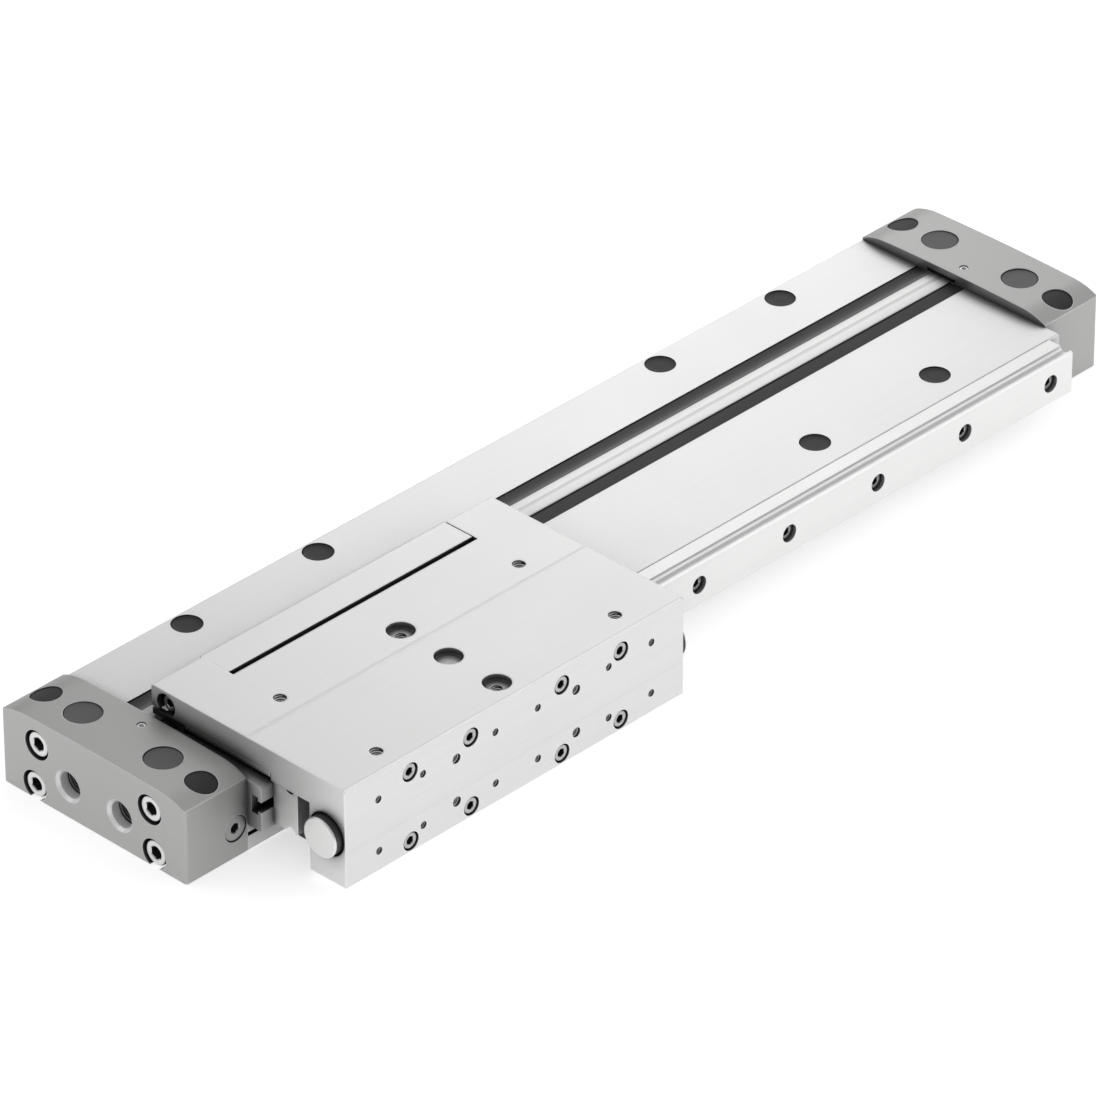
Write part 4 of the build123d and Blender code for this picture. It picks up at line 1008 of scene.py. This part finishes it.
class MakeStudio(bpy.types.Operator):
    """Make the ground, the lamps, the surroundings and the camera"""

    bl_idname = "linear_drive.studio"
    bl_label = "Studio"

    def execute(self, context):
        look = settings().studio
        bpy.context.scene.view_settings.view_transform = "Standard"
        self.ground()
        self.surroundings(look)
        for name, (place, width, power) in LAMPS.items():
            self.lamp(name, place, width, getattr(look, power))
        self.camera(look)
        return {"FINISHED"}

    def ground(self):
        """The ground is a level grid just under the drive, and casts no shadow of its own.

        To the camera it glows up to white, less the drive's shadow.
        """
        half, cells, drop, glow = 12, 24, 0.0003, 0.58
        side = np.linspace(-half, half, cells + 1)
        x, y = np.meshgrid(side, side, indexing="ij")
        points = np.stack([x, y, np.full_like(x, -drop)], -1).reshape(-1, 3)
        i, j = np.meshgrid(np.arange(cells), np.arange(cells), indexing="ij")
        first, second = i * (cells + 1) + j, (i + 1) * (cells + 1) + j
        faces = np.stack([first, second, second + 1, first + 1], -1)
        mesh = bpy.data.meshes.new("ground")
        mesh.from_pydata(points.tolist(), [], faces.reshape(-1, 4).tolist())
        made = bpy.data.objects.new("ground", mesh)
        made.visible_shadow = False
        bpy.context.scene.collection.objects.link(made)
        paint = bpy.data.materials.new("ground_white")
        paint.use_nodes = True
        tree = paint.node_tree
        shader = tree.nodes["Principled BSDF"]
        shader.inputs["Base Color"].default_value = (0.82, 0.82, 0.82, 1)
        shader.inputs["Roughness"].default_value = 0.9
        shader.inputs["Specular IOR Level"].default_value = 0.1
        path = node(tree, "ShaderNodeLightPath").outputs
        seen = maths(tree, "MAXIMUM", path["Is Camera Ray"], path["Is Glossy Ray"])
        seen = maths(tree, "MAXIMUM", seen, path["Is Transmission Ray"])
        shader.inputs["Emission Color"].default_value = (1, 1, 1, 1)
        tree.links.new(maths(tree, "MULTIPLY", seen, glow), shader.inputs["Emission Strength"])
        mesh.materials.append(paint)

    def surroundings(self, look):
        """White to the camera; as light, an even grey that is brighter above than at the sides."""
        world = bpy.data.worlds.new("surroundings")
        world.use_nodes = True
        tree = world.node_tree
        back = tree.nodes["Background"]
        path = node(tree, "ShaderNodeLightPath")
        place = node(tree, "ShaderNodeTexCoord").outputs["Generated"]
        parts = node(tree, "ShaderNodeSeparateXYZ", Vector=place)
        tall = node(tree, "ShaderNodeMapRange", Value=parts.outputs["Z"], From_Min=0.0,
                    From_Max=0.8, To_Min=0.85, To_Max=1.1)
        light = maths(tree, "MULTIPLY", tall.outputs[0], look.sky)
        # A Mix node's numbers are its inputs 2 and 3 and its output 0
        mixed = node(tree, "ShaderNodeMix", {"data_type": "FLOAT"},
                     i0=path.outputs["Is Camera Ray"], i2=light, i3=1.0)
        tree.links.new(mixed.outputs[0], back.inputs["Strength"])
        back.inputs["Color"].default_value = (1, 1, 1, 1)
        bpy.context.scene.world = world

    def lamp(self, name, place, width, power):
        """A square soft lamp that faces the drive."""
        data = bpy.data.lights.new(name, "AREA")
        data.size = width
        data.energy = power
        made = bpy.data.objects.new(name, data)
        made.location = place
        made.rotation_euler = Vector(place).to_track_quat("Z", "Y").to_euler()
        bpy.context.scene.collection.objects.link(made)

    def camera(self, look):
        """The camera looks back along the direction of azimuth and elevation, turned by roll."""
        data = bpy.data.cameras.new("camera")
        data.sensor_width = 36.0
        data.lens = look.lens
        data.clip_start, data.clip_end = 0.05, 50.0
        seen = bpy.data.objects.new("camera", data)
        bpy.context.scene.collection.objects.link(seen)
        level = math.cos(look.elevation)
        away = Vector((level * math.cos(look.azimuth), level * math.sin(look.azimuth),
                       math.sin(look.elevation)))
        right = Vector(UP).cross(away).normalized()
        up = away.cross(right)
        c, s = math.cos(look.roll), math.sin(look.roll)
        turn = Matrix((c * right + s * up, c * up - s * right, away)).transposed()
        seen.rotation_mode = "QUATERNION"
        seen.rotation_quaternion = turn.to_quaternion()
        seen.location = Vector(look.place)
        bpy.context.scene.camera = seen


class DrivePanel(bpy.types.Panel):
    """Lists the drive's pieces and settings in the sidebar"""

    bl_idname = "VIEW3D_PT_linear_drive"
    bl_label = "Linear drive"
    bl_space_type = "VIEW_3D"
    bl_region_type = "UI"
    bl_category = "Linear drive"

    def draw(self, context):
        for made in OPERATORS:
            self.layout.operator(made.bl_idname)
        for part in (settings().finishes, settings().screws, settings().band, settings().studio):
            box = self.layout.box()
            for name in part.__annotations__:
                box.prop(part, name)


OPERATORS = (MakeFinishes, MakeCapScrews, MakeRailScrews, MakeCarriageScrews, MakePlugs,
             MakeCovers, MakeBand, MakeLips, MakeStops, MakeThreads, MakeStudio)
CLASSES = (DriveFinishes, DriveScrews, DriveBand, DriveStudio, DriveSettings, *OPERATORS,
           DrivePanel)


def register():
    """Registers the classes and the settings."""
    for made in CLASSES:
        bpy.utils.register_class(made)
    bpy.types.Scene.linear_drive = PointerProperty(
        type=DriveSettings, name="Linear drive", description="Settings of the linear drive")


def unregister():
    """Takes the settings and the classes away again."""
    del bpy.types.Scene.linear_drive
    for made in reversed(CLASSES):
        bpy.utils.unregister_class(made)


def main():
    """Makes the whole drive and its studio."""
    register()
    for made in OPERATORS:
        family, action = made.bl_idname.split(".")
        getattr(getattr(bpy.ops, family), action)()


if __name__ == "__main__":
    main()
